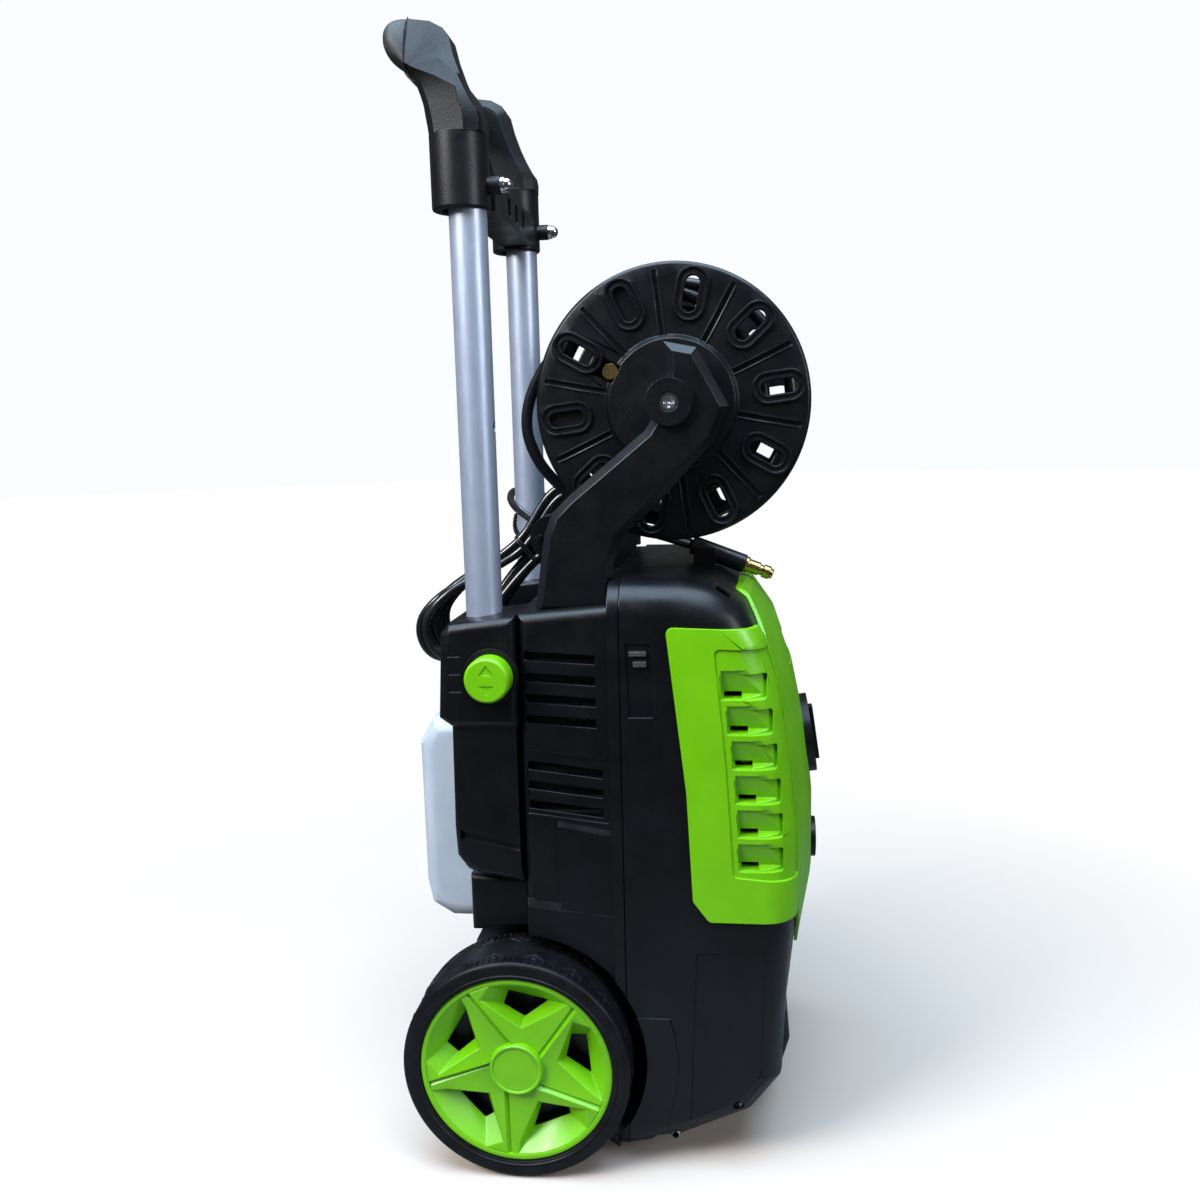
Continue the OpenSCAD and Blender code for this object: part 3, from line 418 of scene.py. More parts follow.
# The hank's frame: u runs along it from the high end to the low one, v points out of it
HANK_MIDDLE = Vector((0, 107, 458)) * MM
HANK_ALONG = Vector((0, 98, -88)).normalized()
HANK_OUT = Vector((0, -HANK_ALONG.z, HANK_ALONG.y))
HANK_TURNS = 12
START_U, HIGH_U, TIE_U, LOW_U = -70 * MM, -84 * MM, -38 * MM, 58 * MM
HIGH_R, LOW_R = 14.2 * MM, 21 * MM
HIGH_SHIFT = 14 * MM  # of the high ends, towards the left tube
SAG = 11 * MM  # of the low ends, below the line of the hank
DIP = 8 * MM  # of the tied waist and the high ends
SWAY_ALONG, SWAY_OUT = 7 * MM, 3 * MM


def hank_place(turn, u, v_side):
    """A point of one run of a turn; v_side is 1 for the upper run and -1 for the lower one.

    At the tie the runs are packed in four rows. The high ends lie inside each other, the low ones side by
    side. fold numbers the low folds, so that both runs of a fold sway alike.
    """
    inner = turn % 2
    column = (2.5 - turn // 2) * CORD_D
    high = u < TIE_U
    reach = (HIGH_U if high else LOW_U) - TIE_U
    open_share = (1 - math.cos(math.pi * min((u - TIE_U) / reach, 1))) / 2
    tied_v = (0.5 if inner else 1.5) * CORD_D
    open_v = HIGH_R + (0 if inner else CORD_D) if high else LOW_R
    open_x = column + HIGH_SHIFT if high else ((HANK_TURNS - 1) / 2 - turn) * CORD_D
    fold = turn if v_side < 0 else turn - 1
    sway = 0 if high else open_share * math.sin(2.4 * fold + 0.6)
    x = column + (open_x - column) * open_share
    v = v_side * (tied_v + (open_v - tied_v) * open_share) + SWAY_OUT * sway
    v -= DIP if high else DIP * (1 - open_share) + SAG * ((u - TIE_U) / reach) ** 2
    return HANK_MIDDLE + HANK_ALONG * (u + SWAY_ALONG * sway) + HANK_OUT * v + Vector((x, 0, 0))


def hank_fold(start, end, outward, steps=18):
    """A half circle between the ends of two runs, bulging along the hank; a low one leans with the sag."""
    centre = (start + end) / 2
    arm = start - centre
    bulge = HANK_ALONG * abs(arm.dot(HANK_OUT)) * outward
    if outward > 0:
        bulge -= HANK_OUT * (2 * SAG / (LOW_U - TIE_U)) * bulge.length
    return [
        centre + arm * math.cos(math.pi * k / steps) + bulge * math.sin(math.pi * k / steps)
        for k in range(1, steps)
    ]


def hank_line():
    """Every turn goes up the upper run, round the high end, down the lower run and round the low end.

    The first turn starts near the high end, and the last one ends after its high fold.
    """
    steps = 30
    line = []
    for turn in range(HANK_TURNS):
        first = LOW_U if turn else START_U
        upper = [hank_place(turn, first + (HIGH_U - first) * k / steps, 1) for k in range(steps + 1)]
        lower = [hank_place(turn, HIGH_U + (LOW_U - HIGH_U) * k / steps, -1) for k in range(steps + 1)]
        if turn:
            line += hank_fold(line[-1], upper[0], 1)
        line += upper + hank_fold(upper[-1], lower[0], -1)
        if turn < HANK_TURNS - 1:
            line += lower
    return line


def bezier(a, b, c, d, steps=14):
    """A cubic curve without its two end points."""
    line = []
    for k in range(1, steps):
        t = k / steps
        line.append(a * (1 - t) ** 3 + b * 3 * t * (1 - t) ** 2 + c * 3 * t * t * (1 - t) + d * t**3)
    return line


def make_power_cord():
    """The whole cord as one line: the loose route, the hank and the lead into the plug."""
    route = smooth_curve([Vector(p) * MM for p in CORD_ROUTE])
    hank = hank_line()
    into = (route[-1] - route[-2]).normalized()
    onward = (hank[1] - hank[0]).normalized()
    join = bezier(route[-1], route[-1] + into * ROUTE_REACH, hank[0] - onward * HANK_REACH, hank[0])
    leave = (hank[-1] - hank[-2]).normalized()
    plug_lead = PLUG_BACK + Vector((PLUG_REACH, 0, 0))
    tail = bezier(hank[-1], hank[-1] + leave * PLUG_REACH, plug_lead, PLUG_BACK)
    line = route + join + hank + tail + [PLUG_BACK]
    cord = add_tube("power_cord_line", line, CORD_D, "cord", "chassis", ["power_cord", "cord_hank"])
    make_tie()
    make_strain_relief()


TIE_WIRE = 1.9 * MM
TIE_HALF_X, TIE_HALF_V = 3.1 * CORD_D, 2.12 * CORD_D
TIE_WINDINGS = 2
TIE_PITCH = 2.2 * MM
TIE_SQUARENESS = 5
TWIST_TURNS, TWIST_R_MM = 3.5, 1.25
TWIST_OUT, TWIST_BACK = 14 * MM, 11 * MM


def make_tie():
    """A wire tie: two windings round the hank's waist, their ends twisted together and bent over."""
    steps = 48
    line = []
    for k in range(TIE_WINDINGS * steps + 1):
        angle = k * TURN / steps + math.pi / 2
        x, v = math.cos(angle), math.sin(angle)
        swell = (abs(x) ** TIE_SQUARENESS + abs(v) ** TIE_SQUARENESS) ** (-1 / TIE_SQUARENESS)
        u = TIE_U + (k / steps - 1) * TIE_PITCH
        across = Vector((TIE_HALF_X * x * swell, 0, 0))
        line.append(HANK_MIDDLE + HANK_ALONG * u + HANK_OUT * (TIE_HALF_V * v * swell - DIP) + across)
    add_tube("cord_tie", line, TIE_WIRE, "trim", "chassis", ["cord_ties"])
    root = HANK_MIDDLE + HANK_ALONG * TIE_U + HANK_OUT * (TIE_HALF_V - DIP + 1 * MM)
    steps = 60
    for end, phase in (("a", 0), ("b", math.pi)):
        twist = []
        for k in range(steps + 1):
            t = k / steps
            angle = phase + t * TWIST_TURNS * TURN
            middle = root + HANK_OUT * (TWIST_OUT * t) - HANK_ALONG * (TWIST_BACK * t * t)
            swing = HANK_ALONG * math.cos(angle) + Vector((math.sin(angle), 0, 0))
            twist.append(middle + swing * TWIST_R_MM * MM)
        add_tube("cord_tie_end_" + end, twist, TIE_WIRE, "trim", "chassis")


def make_strain_relief():
    """The cord's strain relief: a collar and a ribbed sleeve that tapers upward."""
    outline = [(3.5, -2), (8.6, -2), (9.2, -1.4), (9.2, 2.2), (8.6, 3), (7.2, 3.2), (7.2, 5)]
    for rib in range(5):
        low, r = 5 + rib * 4.6, 6.6 - 0.42 * rib
        outline += [(r, low + 0.4), (r - 0.1, low + 2.6), (r - 1.0, low + 3.0), (r - 1.0, low + 4.4)]
    outline += [(4.3, 28.6), (3.9, 29.6), (3.5, 29.6)]
    base = Vector((84, 52, 450)) * MM
    add_turned("cord_relief", base, (0, 0, 1), outline, "trim", "chassis", ["cord_gland"])


# ---------------------------------------------------------------- hose

HOSE_D = 9 * MM
# The free end, from the drum to the fitting in its cradle, in mm
HOSE_ROUTE = [
    (-55, 14, 652), (-55, 34, 639), (-55, 50, 620), (-55, 60, 598), (-55, 62, 576),
    (-55, 55, 555), (-53, 42, 537), (-48, 24, 521), (-40, 2, 508), (-28, -22, 496),
    (-12, -44, 487), (0, -64, 479),
]
REEL = Vector((0, -54, 594.5)) * MM
DRUM_R = 64 * MM
HOSE_PITCH = 9.25 * MM
HOSE_END_X = 73 * MM  # of the layer's first and last turns, to either side
SECOND_TURNS, SECOND_X = 2, -55 * MM  # turns of the second layer, and where they end
CLIMB = 0.35  # share of a turn in which the hose climbs from the first layer to the second
HOSE_STEPS = 90  # points a turn


def wound_hose_line():
    """From the drum's connector at the left, one full layer to the right flange, then part of a second."""
    first_turns = 2 * HOSE_END_X / HOSE_PITCH
    tail = Vector(HOSE_ROUTE[0]) * MM - REEL
    end_angle = math.atan2(tail.z, tail.y)
    inner_r = DRUM_R + HOSE_D / 2 + 0.2 * MM
    outer_r = math.hypot(tail.y, tail.z)
    total = first_turns + CLIMB + SECOND_TURNS
    count = round(total * HOSE_STEPS)
    line = []
    for k in range(count + 1):
        t = total * k / count
        angle = end_angle + (total - t) * TURN
        if t <= first_turns:
            x, r = HOSE_END_X - HOSE_PITCH * t, inner_r
        else:
            share = min((t - first_turns) / CLIMB, 1)
            share = share * share * (3 - 2 * share)
            r = inner_r + (outer_r - inner_r) * share
            x = (SECOND_X + HOSE_END_X) * max(0, t - first_turns - CLIMB) / SECOND_TURNS - HOSE_END_X
        line.append(REEL + Vector((x, r * math.cos(angle), r * math.sin(angle))))
    return line


def make_hose():
    """The hose in two pieces: the turns on the drum, and the free end, which doesn't turn with the reel."""
    wound = wound_hose_line()
    coil = add_tube("hose_wound", wound, HOSE_D, "hose_rubber", "reel", ["hose_coil"])
    route = smooth_curve([Vector(p) * MM for p in HOSE_ROUTE])
    tail = add_tube("hose_tail_free", route, HOSE_D, "hose_rubber", "chassis", ["hose_tail"])


# ---------------------------------------------------------------- reel

SECTORS = 10
FLANGE_X = 87 * MM
SLOT_R = 80 * MM
SLOT_HALF, POCKET_HALF = (20, 12), (13.5, 5.5)  # half length and width of a slot and of its inner edge
SLOT_ANGLE, GROOVE_ANGLE = -7, -25  # of the first slot and groove, in degrees
# Sections of the raised edges in mm, each as (offset outwards, height); a groove's is (distance, height)
LIP = [(-2.6, -0.4), (-2.4, 0.5), (-1.4, 1.5), (-0.5, 1.5), (0.2, 0.7), (0.3, -0.4)]
INNER_LIP = [(-0.4, -0.6), (-0.2, 0.2), (0.5, 0.8), (1.5, 0.7), (2.2, 0.0), (2.3, -0.6)]
GROOVE_EDGE = [(1.4, -0.6), (1.7, 0.5), (2.3, 0.8), (3.1, 0.6), (3.6, -0.6)]
GROOVE_STATIONS = [(49, 0.2), (51, 1), (70, 1), (92, 1), (95, 0.2)]  # radius in mm, share of the height
GROOVE_X = 86 * MM


def reel_point(side, r, across, angle, x):
    """A point on a flange: r from the reel's axis, across to the side, in the sector at the angle."""
    y, z = -r, across
    cos, sin = math.cos(angle), math.sin(angle)
    return Vector((side * x, REEL.y + y * cos - z * sin, REEL.z + y * sin + z * cos))


def slot_outline(half_long, half_wide, steps=14):
    """A slot with round ends, as points (along, across) round it."""
    straight = half_long - half_wide
    points = []
    for end in (1, -1):
        for k in range(steps + 1):
            a = math.pi * (k / steps - 0.5)
            points.append((end * (straight + half_wide * math.cos(a)), end * half_wide * math.sin(a)))
    return points


def slot_lip(side, halves, section, angle):
    """Points and ring length of a raised lip round one slot."""
    rings = []
    for offset, height in section:
        outline = slot_outline(halves[0] + offset, halves[1] + offset)
        x = FLANGE_X + height * MM
        rings.append([reel_point(side, SLOT_R + u * MM, v * MM, angle, x) for u, v in outline])
    return [point for ring in rings for point in ring], len(rings[0])


def groove_edge(side, edge, angle):
    """Points of the raised edge on one side of a groove."""
    points = []
    for r, share in GROOVE_STATIONS:
        for across, height in GROOVE_EDGE:
            lift = height * share if height > 0 else height
            points.append(reel_point(side, r * MM, edge * across * MM, angle, GROOVE_X + lift * MM))
    return points


def make_flange_detail(side, name):
    """Raised lips round every slot, and raised edges beside the grooves between the sectors."""
    points, faces = [], []
    for k in range(SECTORS):
        angle = math.radians(SLOT_ANGLE + k * 360 / SECTORS)
        for halves, section in ((SLOT_HALF, LIP), (POCKET_HALF, INNER_LIP)):
            base = len(points)
            lip, count = slot_lip(side, halves, section, angle)
            points += lip
            for j in range(len(section) - 1):
                for i in range(count):
                    a, b = base + j * count + i, base + j * count + (i + 1) % count
                    faces.append((a, b, b + count, a + count))
        groove = math.radians(GROOVE_ANGLE + k * 360 / SECTORS)
        for edge in (-1, 1):
            base, n = len(points), len(GROOVE_EDGE)
            points += groove_edge(side, edge, groove)
            for j in range(len(GROOVE_STATIONS) - 1):
                for i in range(n - 1):
                    a = base + j * n + i
                    face = (a, a + 1, a + 1 + n, a + n)
                    faces.append(face if edge > 0 else face[::-1])
    soften(add_mesh("flange_lips_" + name, points, faces, side, "shell", "reel"), 0)


# ---------------------------------------------------------------- handle

# The sections along a grip, from its barrel to its end: front y and z, rear y and z and half width in mm;
# then the corners of its outer side, as shares of the half depth and half width; then how round it is
GRIP_STATIONS = [
    (75.0, 788, 117.0, 787, 20.8, 0.60, 0.92, 0.84, 0.40, 0.5),
    (75.6, 795, 117.4, 795, 20.2, 0.60, 0.92, 0.84, 0.42, 0.2),
    (77.2, 801, 118.0, 801, 19.8, 0.60, 0.93, 0.82, 0.46, 0.0),
    (81.9, 808, 119.0, 808, 19.6, 0.60, 0.93, 0.82, 0.50, 0.0),
    (86.6, 817, 121.2, 815.5, 19.4, 0.58, 0.94, 0.80, 0.66, 0.0),
    (90.9, 827, 123.8, 822.7, 19.4, 0.52, 0.92, 0.76, 0.0, 0.0),
    (95.6, 840.7, 126, 828, 19.3, 0.45, 0.47, 0.78, -0.65, 0.0),
    (98.6, 853.5, 127.2, 830.4, 19.2, 0.38, -0.12, 0.79, -0.84, 0.0),
    (103, 860, 127.8, 831.8, 19.2, 0.36, -0.23, 0.80, -0.88, 0.0),
    (112.4, 865.2, 128.2, 832.8, 19.0, 0.36, -0.31, 0.82, -0.92, 0.0),
    (128.3, 867.8, 128.9, 833.6, 18.8, 0.36, -0.29, 0.84, -0.95, 0.0),
]
GRIP_END = [
    (128.5, 869.2, 129.1, 832.8, 18.6, 0.36, -0.29, 0.86, -0.90, 0.0),
    (129.1, 870.6, 129.5, 831.6, 19.9, 0.38, -0.2, 0.88, -0.9, 0.1),
    (130.0, 870.8, 130.3, 831.8, 20.1, 0.40, -0.15, 0.90, -0.88, 0.2),
    (136.5, 871.6, 137.0, 834.2, 19.4, 0.45, 0.1, 0.92, -0.7, 0.7),
    (143.5, 868.8, 143.5, 839.5, 16.2, 0.5, 0.2, 0.92, -0.6, 0.9),
    (147.2, 862.6, 147.0, 847.6, 9.2, 0.5, 0.2, 0.92, -0.6, 1.0),
    (147.9, 858.0, 147.8, 853.0, 3.2, 0.5, 0.2, 0.92, -0.6, 1.0),
]
GRIP_X = 100  # mm from the middle to the tubes' and grips' axes
# Outlines of the turned pieces at a grip's foot, as (radius, height) in mm
BARREL = [
    (14.2, 0.2), (20.0, 0.0), (21.0, 0.6), (21.4, 1.8), (21.4, 52), (21.2, 52.6), (20.6, 52.8), (14.2, 52.8),
]
COLLAR = [(4.1, 0), (6.6, 0), (6.6, 10.2), (6.2, 11), (5.4, 11.4), (4.1, 11.4)]
NUT_FOOT = [(4.2, 11.2), (5.8, 11.3), (5.9, 13.6), (5.1, 14.0)]
DOME_MIDDLE = (0.05, 14.8)
DOME_R, DOME_H = 4.95, 5
NUT_INSIDE = [(0.05, 18.2), (4.1, 17.6)]


def grip_section(side, station):
    """The nine corners of a grip's section, starting with those of its outer side, away from the bar."""
    front_y, front_z, rear_y, rear_z, half, flat, fold_p, fold_q, low, roundness = station
    corners = [
        (1, flat), (fold_p, fold_q), (low, 1), (min(-0.7, low - 0.05), 0.86), (-1, 0.45), (-1, -0.6),
        (-0.6, -1), (0.6, -1), (1, -0.6),
    ]
    front, rear = Vector((0, front_y, front_z)) * MM, Vector((0, rear_y, rear_z)) * MM
    points = []
    for p, q in corners:
        shrink = 1 + (1 / math.hypot(p, q) - 1) * roundness
        point = (front + rear) / 2 + (front - rear) / 2 * (p * shrink)
        points.append(point + Vector((side * (GRIP_X + half * q * shrink) * MM, 0, 0)))
    return points


def make_grip_part(name, side, stations, material, replaced=()):
    """A closed loft through the stations' sections."""
    sections = [grip_section(side, station) for station in stations]
    n, count = len(sections[0]), len(stations)
    faces = lathe(n, count)[: n * (count - 1)]
    faces += [tuple(range(n)), tuple(range((count - 1) * n, count * n))[::-1]]
    points = [point for section in sections for point in section]
    return add_mesh(name, points, faces, side, material, "handle", replaced)


def make_handle_side(side, name):
    """One grip: a turned barrel, a faceted hand piece and a soft end, with the bolt's collar and dome nut."""
    soften(make_grip_part("grip_hand_" + name, side, GRIP_STATIONS, "trim", ["grip_" + name]), 0.4 * MM)
    end = make_grip_part("grip_end_" + name, side, GRIP_END, "grip_skin")
    rounded = end.modifiers.new("rounded", "SUBSURF")
    rounded.levels = rounded.render_levels = 3
    foot = Vector((side * GRIP_X, 96.5, 736)) * MM
    add_turned("grip_barrel_" + name, foot, (0, 0, 1), BARREL, "trim", "handle", steps=72)
    bolt, forward = Vector((side * GRIP_X, 77.5, 753)) * MM, (0, -1, 0)
    add_turned("bolt_collar_" + name, bolt, forward, COLLAR, "trim", "handle", ["bolt_collars"])
    dome = []
    for k in range(11):
        angle = k * TURN / 40
        r, height = DOME_MIDDLE
        dome.append((r + DOME_R * math.cos(angle), height + DOME_H * math.sin(angle)))
    outline = NUT_FOOT + dome + NUT_INSIDE
    add_turned("dome_nut_" + name, bolt, forward, outline, "chrome", "handle", ["dome_nuts"], width=0)


# ---------------------------------------------------------------- wheels

AXLE = (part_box("axle")[0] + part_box("axle")[1]) / 2
TYRE_R = 90.5 * MM
LIP_X, TYRE_X = 157.5 * MM, 160 * MM  # the rim's lip and the tyre's outer face
SPOKES = 5
SPOKE_TURN = math.radians(39)
STAR_R = 71  # mm, where the star meets the rim
RIM_ARC = 6  # faces along the rim in each window
TREAD_START, TREAD_W = 4.0, 47.0  # mm from the tyre's outer face, and across
TREAD_LIFT = 1.1  # mm
TREAD_COUNT = 18  # houses round the tyre
HOUSE_STEPS = 36  # points to a house
# Outlines in mm, as (radius, depth behind the rim's lip)
RIM = [
    (70.9, 1.4), (71.1, 0.5), (71.8, 0.1), (73.6, 0.0), (74.8, 0.3), (75.4, 1.2), (75.5, 3), (75.5, 48),
    (73.5, 48), (72, 30), (71, 6),
]
HUB = [
    (0.05, 3), (0.05, 0.9), (8, 1.0), (17.4, 1.2), (17.9, 1.0), (18.2, 0.4), (18.8, 0.1), (19.8, 0.2),
    (20.4, 0.8), (20.9, 2.2), (21.6, 6), (21.6, 20), (16, 22), (16, 52), (8.3, 52), (8.3, 3),
]
CORE = [(15.5, 27), (71.5, 25), (73.4, 23), (73.4, 27), (72, 29), (15.5, 31)]


def wheel_point(side, r, angle, x):
    """A point of a wheel: the angle is as seen from the outside of the right wheel, up from the front."""
    return Vector((side * x, AXLE.y - r * math.cos(angle), AXLE.z + r * math.sin(angle)))


# Radius in mm, degrees from the spoke and depth in mm behind the rim's lip, for one spoke's points
STAR = {
    "low_hub": (21, -3, 4.6), "low_rim": (71, 11.2, 1.4),
    "groove_hub": (21, -8, 6.4), "groove_rim": (71, 9.6, 3.4),
    "top_hub": (21, -14, 2.4), "top_rim": (71, 7.6, 0.3),
    "notch": (62.5, 4.0, 0.9), "notch_rim": (71, -6.4, 0.3),
    "valley": (32.5, -28.3, 5.6), "valley_hub": (21, -40, 5.4),
    "blade": (60.5, -55.5, 3.0), "blade_rim": (71, -57.6, 0.8),
    "hole_a": (58.5, -15, 16), "hole_b": (57, -46.5, 16), "hole_c": (38.5, -30, 15), "hole_d": (48.5, -9, 15),
}


def star_mesh(side):
    """The spokes and the sloping walls of the windows, sector by sector.

    s holds the points of this spoke, and p those of the one before it.
    """
    points, faces = [], []

    def at(r, angle, depth):
        points.append(wheel_point(side, r * MM, angle, LIP_X - depth * MM))
        return len(points) - 1

    for k in range(SPOKES):
        spoke = SPOKE_TURN + k * TURN / SPOKES
        s = {n: at(r, spoke + math.radians(a), d) for n, (r, a, d) in STAR.items()}
        low = {n: corner for n, corner in STAR.items() if n.startswith("low")}
        p = {n: at(r, spoke - TURN / SPOKES + math.radians(a), d) for n, (r, a, d) in low.items()}
        rim, hole = [], []
        a, b = (wheel_point(1, STAR[h][0], math.radians(STAR[h][1]), 0) for h in ("hole_a", "hole_b"))
        for i in range(1, RIM_ARC):
            share = i / RIM_ARC
            angle = STAR["notch_rim"][1] + (STAR["blade_rim"][1] - STAR["notch_rim"][1]) * share
            rim.append(at(STAR_R, spoke + math.radians(angle), 0.3 + 0.5 * share))
            straight = a.lerp(b, share)
            y, z = AXLE.y - straight.y, straight.z - AXLE.z
            hole.append(at(math.hypot(y, z), spoke + math.atan2(z, y), STAR["hole_a"][2]))
        faces += [
            (s["low_hub"], s["low_rim"], s["groove_rim"], s["groove_hub"]),
            (s["groove_hub"], s["groove_rim"], s["top_rim"], s["top_hub"]),
            (s["top_hub"], s["top_rim"], s["notch"]),
            (s["top_rim"], s["notch_rim"], s["notch"]),
            (s["top_hub"], s["notch"], s["valley"]),
            (s["top_hub"], s["valley"], s["valley_hub"]),
            (s["notch"], s["notch_rim"], s["hole_a"], s["hole_d"]),
            (s["valley"], s["notch"], s["hole_d"], s["hole_c"]),
            (s["blade"], s["valley"], s["hole_c"], s["hole_b"]),
            (s["blade_rim"], s["blade"], s["hole_b"]),
            (s["valley_hub"], s["valley"], p["low_hub"]),
            (s["valley"], s["blade"], p["low_hub"]),
            (s["blade"], s["blade_rim"], p["low_rim"], p["low_hub"]),
        ]
        outer = [s["notch_rim"], *rim, s["blade_rim"]]
        inner = [s["hole_a"], *hole, s["hole_b"]]
        for i in range(RIM_ARC):
            faces.append((outer[i], outer[i + 1], inner[i + 1], inner[i]))
    return points, faces


def add_ring(name, side, profile, steps, material, body, replaced=()):
    """A ring of a wheel: profile is a closed outline of (radius, depth behind the rim's lip) in mm."""
    points = []
    for k in range(steps):
        points += [wheel_point(side, r * MM, k * TURN / steps, LIP_X - d * MM) for r, d in profile]
    soften(add_mesh(name, points, lathe(len(profile), steps), side, material, body, replaced), 0)


def make_wheel(side, name):
    """A wheel: the green star, rim and hub, a dark core behind them, and the tyre."""
    body = "wheel_" + name
    points, faces = star_mesh(side)
    star = add_mesh("star_" + name, points, faces, side, "lime", body, ["wheel_" + name])
    weld = star.modifiers.new("weld", "WELD")
    weld.merge_threshold = 0.05 * MM
    thick = star.modifiers.new("thickness", "SOLIDIFY")
    thick.thickness = 2.6 * MM
    thick.offset = -1
    soften(star, 0.8 * MM, 3)
    add_ring("rim_" + name, side, RIM, 120, "lime", body)
    add_ring("hub_" + name, side, HUB, 72, "lime", body, ["hub_cap_" + name])
    add_ring("core_" + name, side, CORE, 96, "trim", body)
    make_tyre(side, name)


def tread_height(across, around):
    """Height of the tread's pattern, from 0 to 1: houses in relief with an arch inside, and ticks between them.

    across is in mm from the shoulder, around in mm from the middle of a house.
    """
    side = abs(around)
    eave, peak, half = 8.5, 14.5, 9.3
    roof = eave + (peak - eave) * (1 - side / half)
    edge = min(half - side, roof - across) if side < half else -1
    if across < 0.7:
        return 1.0
    if edge > 0:
        arch = math.hypot(around, max(0.0, across - 5.5))
        return 1.0 if edge < 1.3 or 2.0 < arch < 3.3 else 0.35
    between_houses = half + 2.2 < side < half + 5.6
    return 0.7 if between_houses and across < 8 and int((side - half - 2.2) / 1.15) % 2 == 0 else 0.0


def tyre_profile():
    """(radius, depth behind the tyre's outer face, distance from the shoulder or None) in mm."""
    wall = [
        (75.6, 3.4, None), (75.6, 1.6, None), (76.6, 0.9, None), (77.6, 1.0, None), (78.2, 0.3, None),
        (78.9, 0.3, None), (79.5, 1.1, None), (82.0, 0.8, None), (85.0, 0.7, None), (87.2, 1.2, None),
        (88.6, 2.4, None),
    ]
    tread = []
    count = 46
    for i in range(count + 1):
        across = TREAD_W * i / count
        crown = 1.5 * (2 * across / TREAD_W - 1) ** 2
        tread.append((89.35 - crown * 0.9, TREAD_START + across, min(across, TREAD_W - across)))
    inner = [(88.6, 52.6, None), (86, 54.2, None), (80, 54.8, None), (76, 54.0, None), (75.6, 52, None)]
    return wall + tread + inner


def make_tyre(side, name):
    """The tyre, with its tread as relief; the tread's far half is shifted by half a house."""
    profile = tyre_profile()
    steps = TREAD_COUNT * HOUSE_STEPS
    pitch = TURN * TYRE_R / MM / TREAD_COUNT
    points = []
    for k in range(steps):
        angle = k * TURN / steps
        for r, depth, across in profile:
            lift = 0.0
            if across is not None:
                shift = 0.5 if depth > TREAD_START + TREAD_W / 2 else 0.0
                around = ((k / HOUSE_STEPS + shift + 0.5) % 1 - 0.5) * pitch
                lift = tread_height(across, around) * TREAD_LIFT
            points.append(wheel_point(side, (r + lift) * MM, angle, TYRE_X - depth * MM))
    faces = lathe(len(profile), steps)
    tyre = add_mesh("tyre_tread_" + name, points, faces, side, "tyre", "wheel_" + name, ["tyre_" + name])
    soften(tyre, 0)


# ---------------------------------------------------------------- vent shade plates (painted shade)

REAR_INNER = 127  # mm from the middle to the rear shell's inner face
SHADE_PLATE_GAP, SHADE_PLATE_T = 5, 2.5
SHADE_PLATE_Y = (-3, 56)
SHADE_PLATE_Z = range(282, 430, 12)  # where its ribs start


def make_vent_shade_plate(side, name):
    """Painted shade: a dark ribbed plate inside the rear shell that keeps light out of the vents, standing in
    for the shaded inside of the housing.
    """
    outline = []
    for z in SHADE_PLATE_Z:
        outline += [(z, 0.0), (z + 5, 0.0), (z + 6, 1.6), (z + 11, 1.6)]
    front_x, back_x = REAR_INNER - SHADE_PLATE_GAP, REAR_INNER - SHADE_PLATE_GAP - SHADE_PLATE_T
    points = []
    for face_x in (front_x, back_x):
        points += [Vector((side * (face_x - d), y, z)) * MM for y in SHADE_PLATE_Y for z, d in outline]
    n = len(outline)
    faces = []
    for a, b in ((0, 1), (3, 2), (2, 0), (1, 3)):
        faces += [(a * n + i, a * n + i + 1, b * n + i + 1, b * n + i) for i in range(n - 1)]
    faces += [(0, n, 3 * n, 2 * n), (n - 1, 3 * n - 1, 4 * n - 1, 2 * n - 1)]
    soften(add_mesh("vent_shade_plate_" + name, points, faces, side, "trim", "chassis"), 0.2 * MM)


# ---------------------------------------------------------------- stage

FLOOR_RINGS = [0.0, 0.5, 1.0, 2.0, 4.0, 12.0]
FLOOR_SEEN = (0.66, 0.58, 0.515)  # warm, against the blue of the light from above
FLOOR_UNSEEN = (0.22, 0.22, 0.22)  # for every ray but the camera's, so that little light bounces up
FADE_START, FADE_END = 0.3, 0.85  # metres from the origin


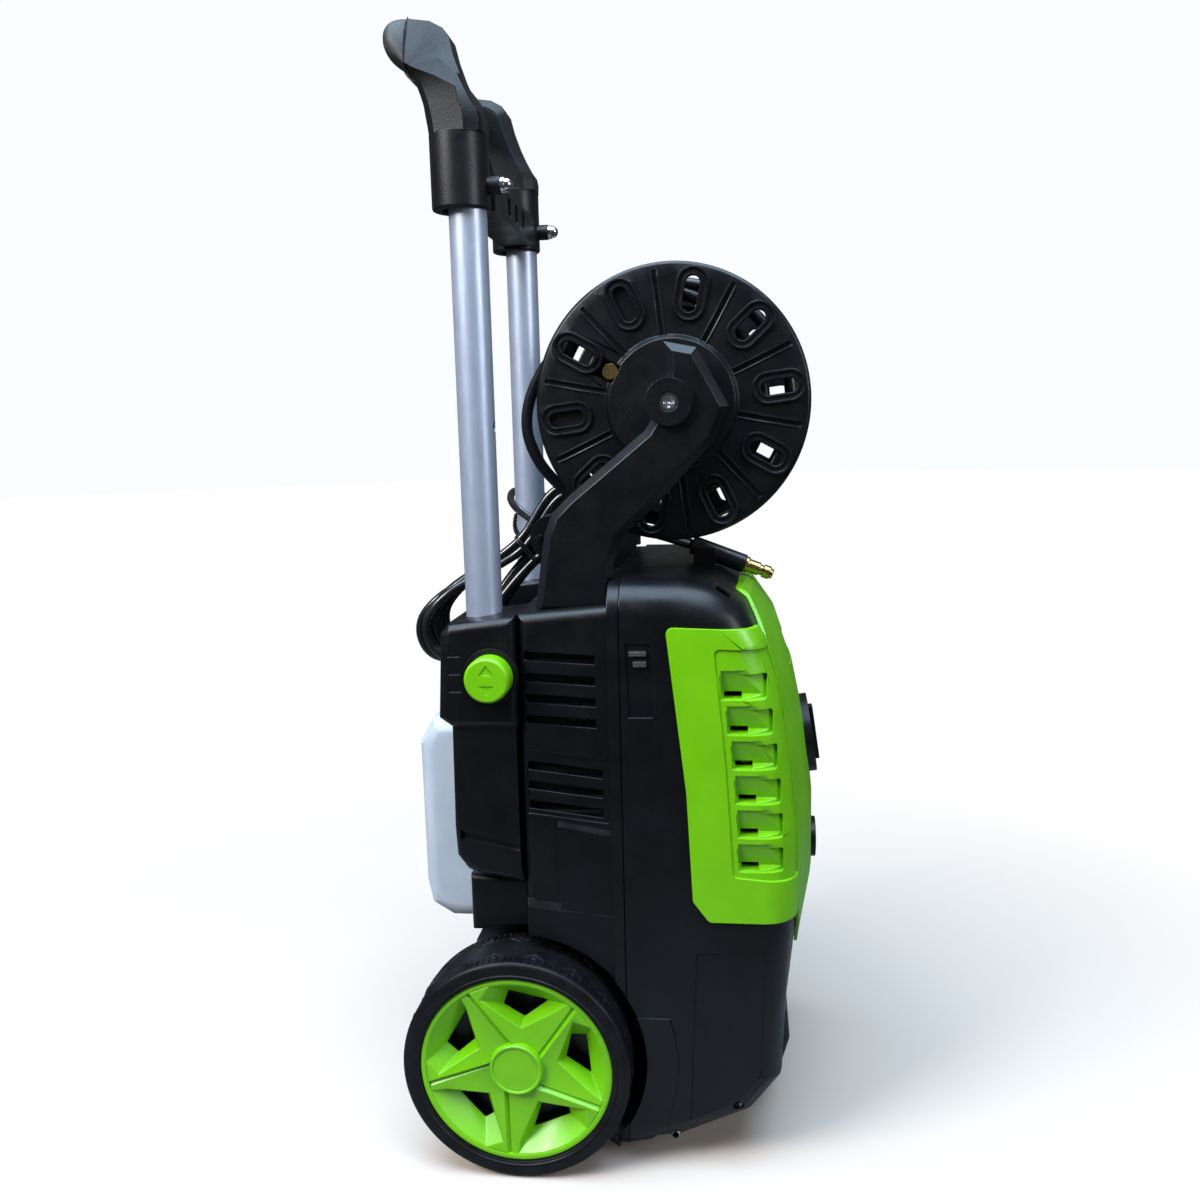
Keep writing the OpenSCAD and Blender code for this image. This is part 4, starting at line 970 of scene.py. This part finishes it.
def make_floor():
    """A pale floor that turns into the white background away from the object."""
    steps = 96
    points, faces = [], []
    for r in FLOOR_RINGS:
        points += [(r * math.cos(k * TURN / steps), r * math.sin(k * TURN / steps), 0) for k in range(steps)]
    for i in range(len(FLOOR_RINGS) - 1):
        inner, outer = i * steps, (i + 1) * steps
        for k in range(steps):
            after = (k + 1) % steps
            faces.append((inner + k, outer + k, outer + after, inner + after))
    data = bpy.data.meshes.new("floor")
    data.from_pydata(points, [], faces)
    floor = bpy.data.objects.new("floor", data)
    bpy.context.scene.collection.objects.link(floor)
    paint = Paint("floor", FLOOR_UNSEEN, 0.7)
    paint.set("Specular IOR Level", 0.0)
    paint.gloss(paint.noise(0.2), 0.05)
    away = paint.add("ShaderNodeVectorMath", Vector=paint.place())
    away.operation = "LENGTH"
    seen = paint.add("ShaderNodeLightPath").outputs["Is Camera Ray"]
    glow = paint.add("ShaderNodeEmission", Color=(1, 1, 1, 1), Strength=paint.spread(seen, 0.05, 1.0, 0, 1))
    paint.tint(seen, FLOOR_SEEN, 0, 1)
    fade = paint.spread(away.outputs["Value"], 0, 1, FADE_START, FADE_END)
    mix = paint.add("ShaderNodeMixShader", Fac=fade)
    paint.tree.links.new(paint.shader.outputs["BSDF"], mix.inputs[1])
    paint.tree.links.new(glow.outputs["Emission"], mix.inputs[2])
    paint.tree.links.new(mix.outputs["Shader"], paint.tree.nodes["Material Output"].inputs["Surface"])
    data.materials.append(paint.material)


# ---------------------------------------------------------------- the whole scene

make_camera()
make_light()
MATERIALS = make_materials()
WELDING = make_welding()
SMOOTHING = make_smoothing()
make_power_cord()
make_hose()
SIDES = ((-1, "right"), (1, "left"))
for side, name in SIDES:
    make_handle_side(side, name)
for side, name in SIDES:
    make_flange_detail(side, name)
for side, name in SIDES:
    make_wheel(side, name)
    # a dark plate behind each side's vents, as painted shade for the inside of the housing
    make_vent_shade_plate(side, name)

SLOT_OF = {s["node"]: s["material_slot"] for s in frame["record"]["subparts"]}
for name, node in NODES.items():
    if node.hide_render:
        continue
    node.data.materials.clear()
    node.data.materials.append(MATERIALS[SLOT_OF[name]])
    soften(node, weld=True)
make_floor()
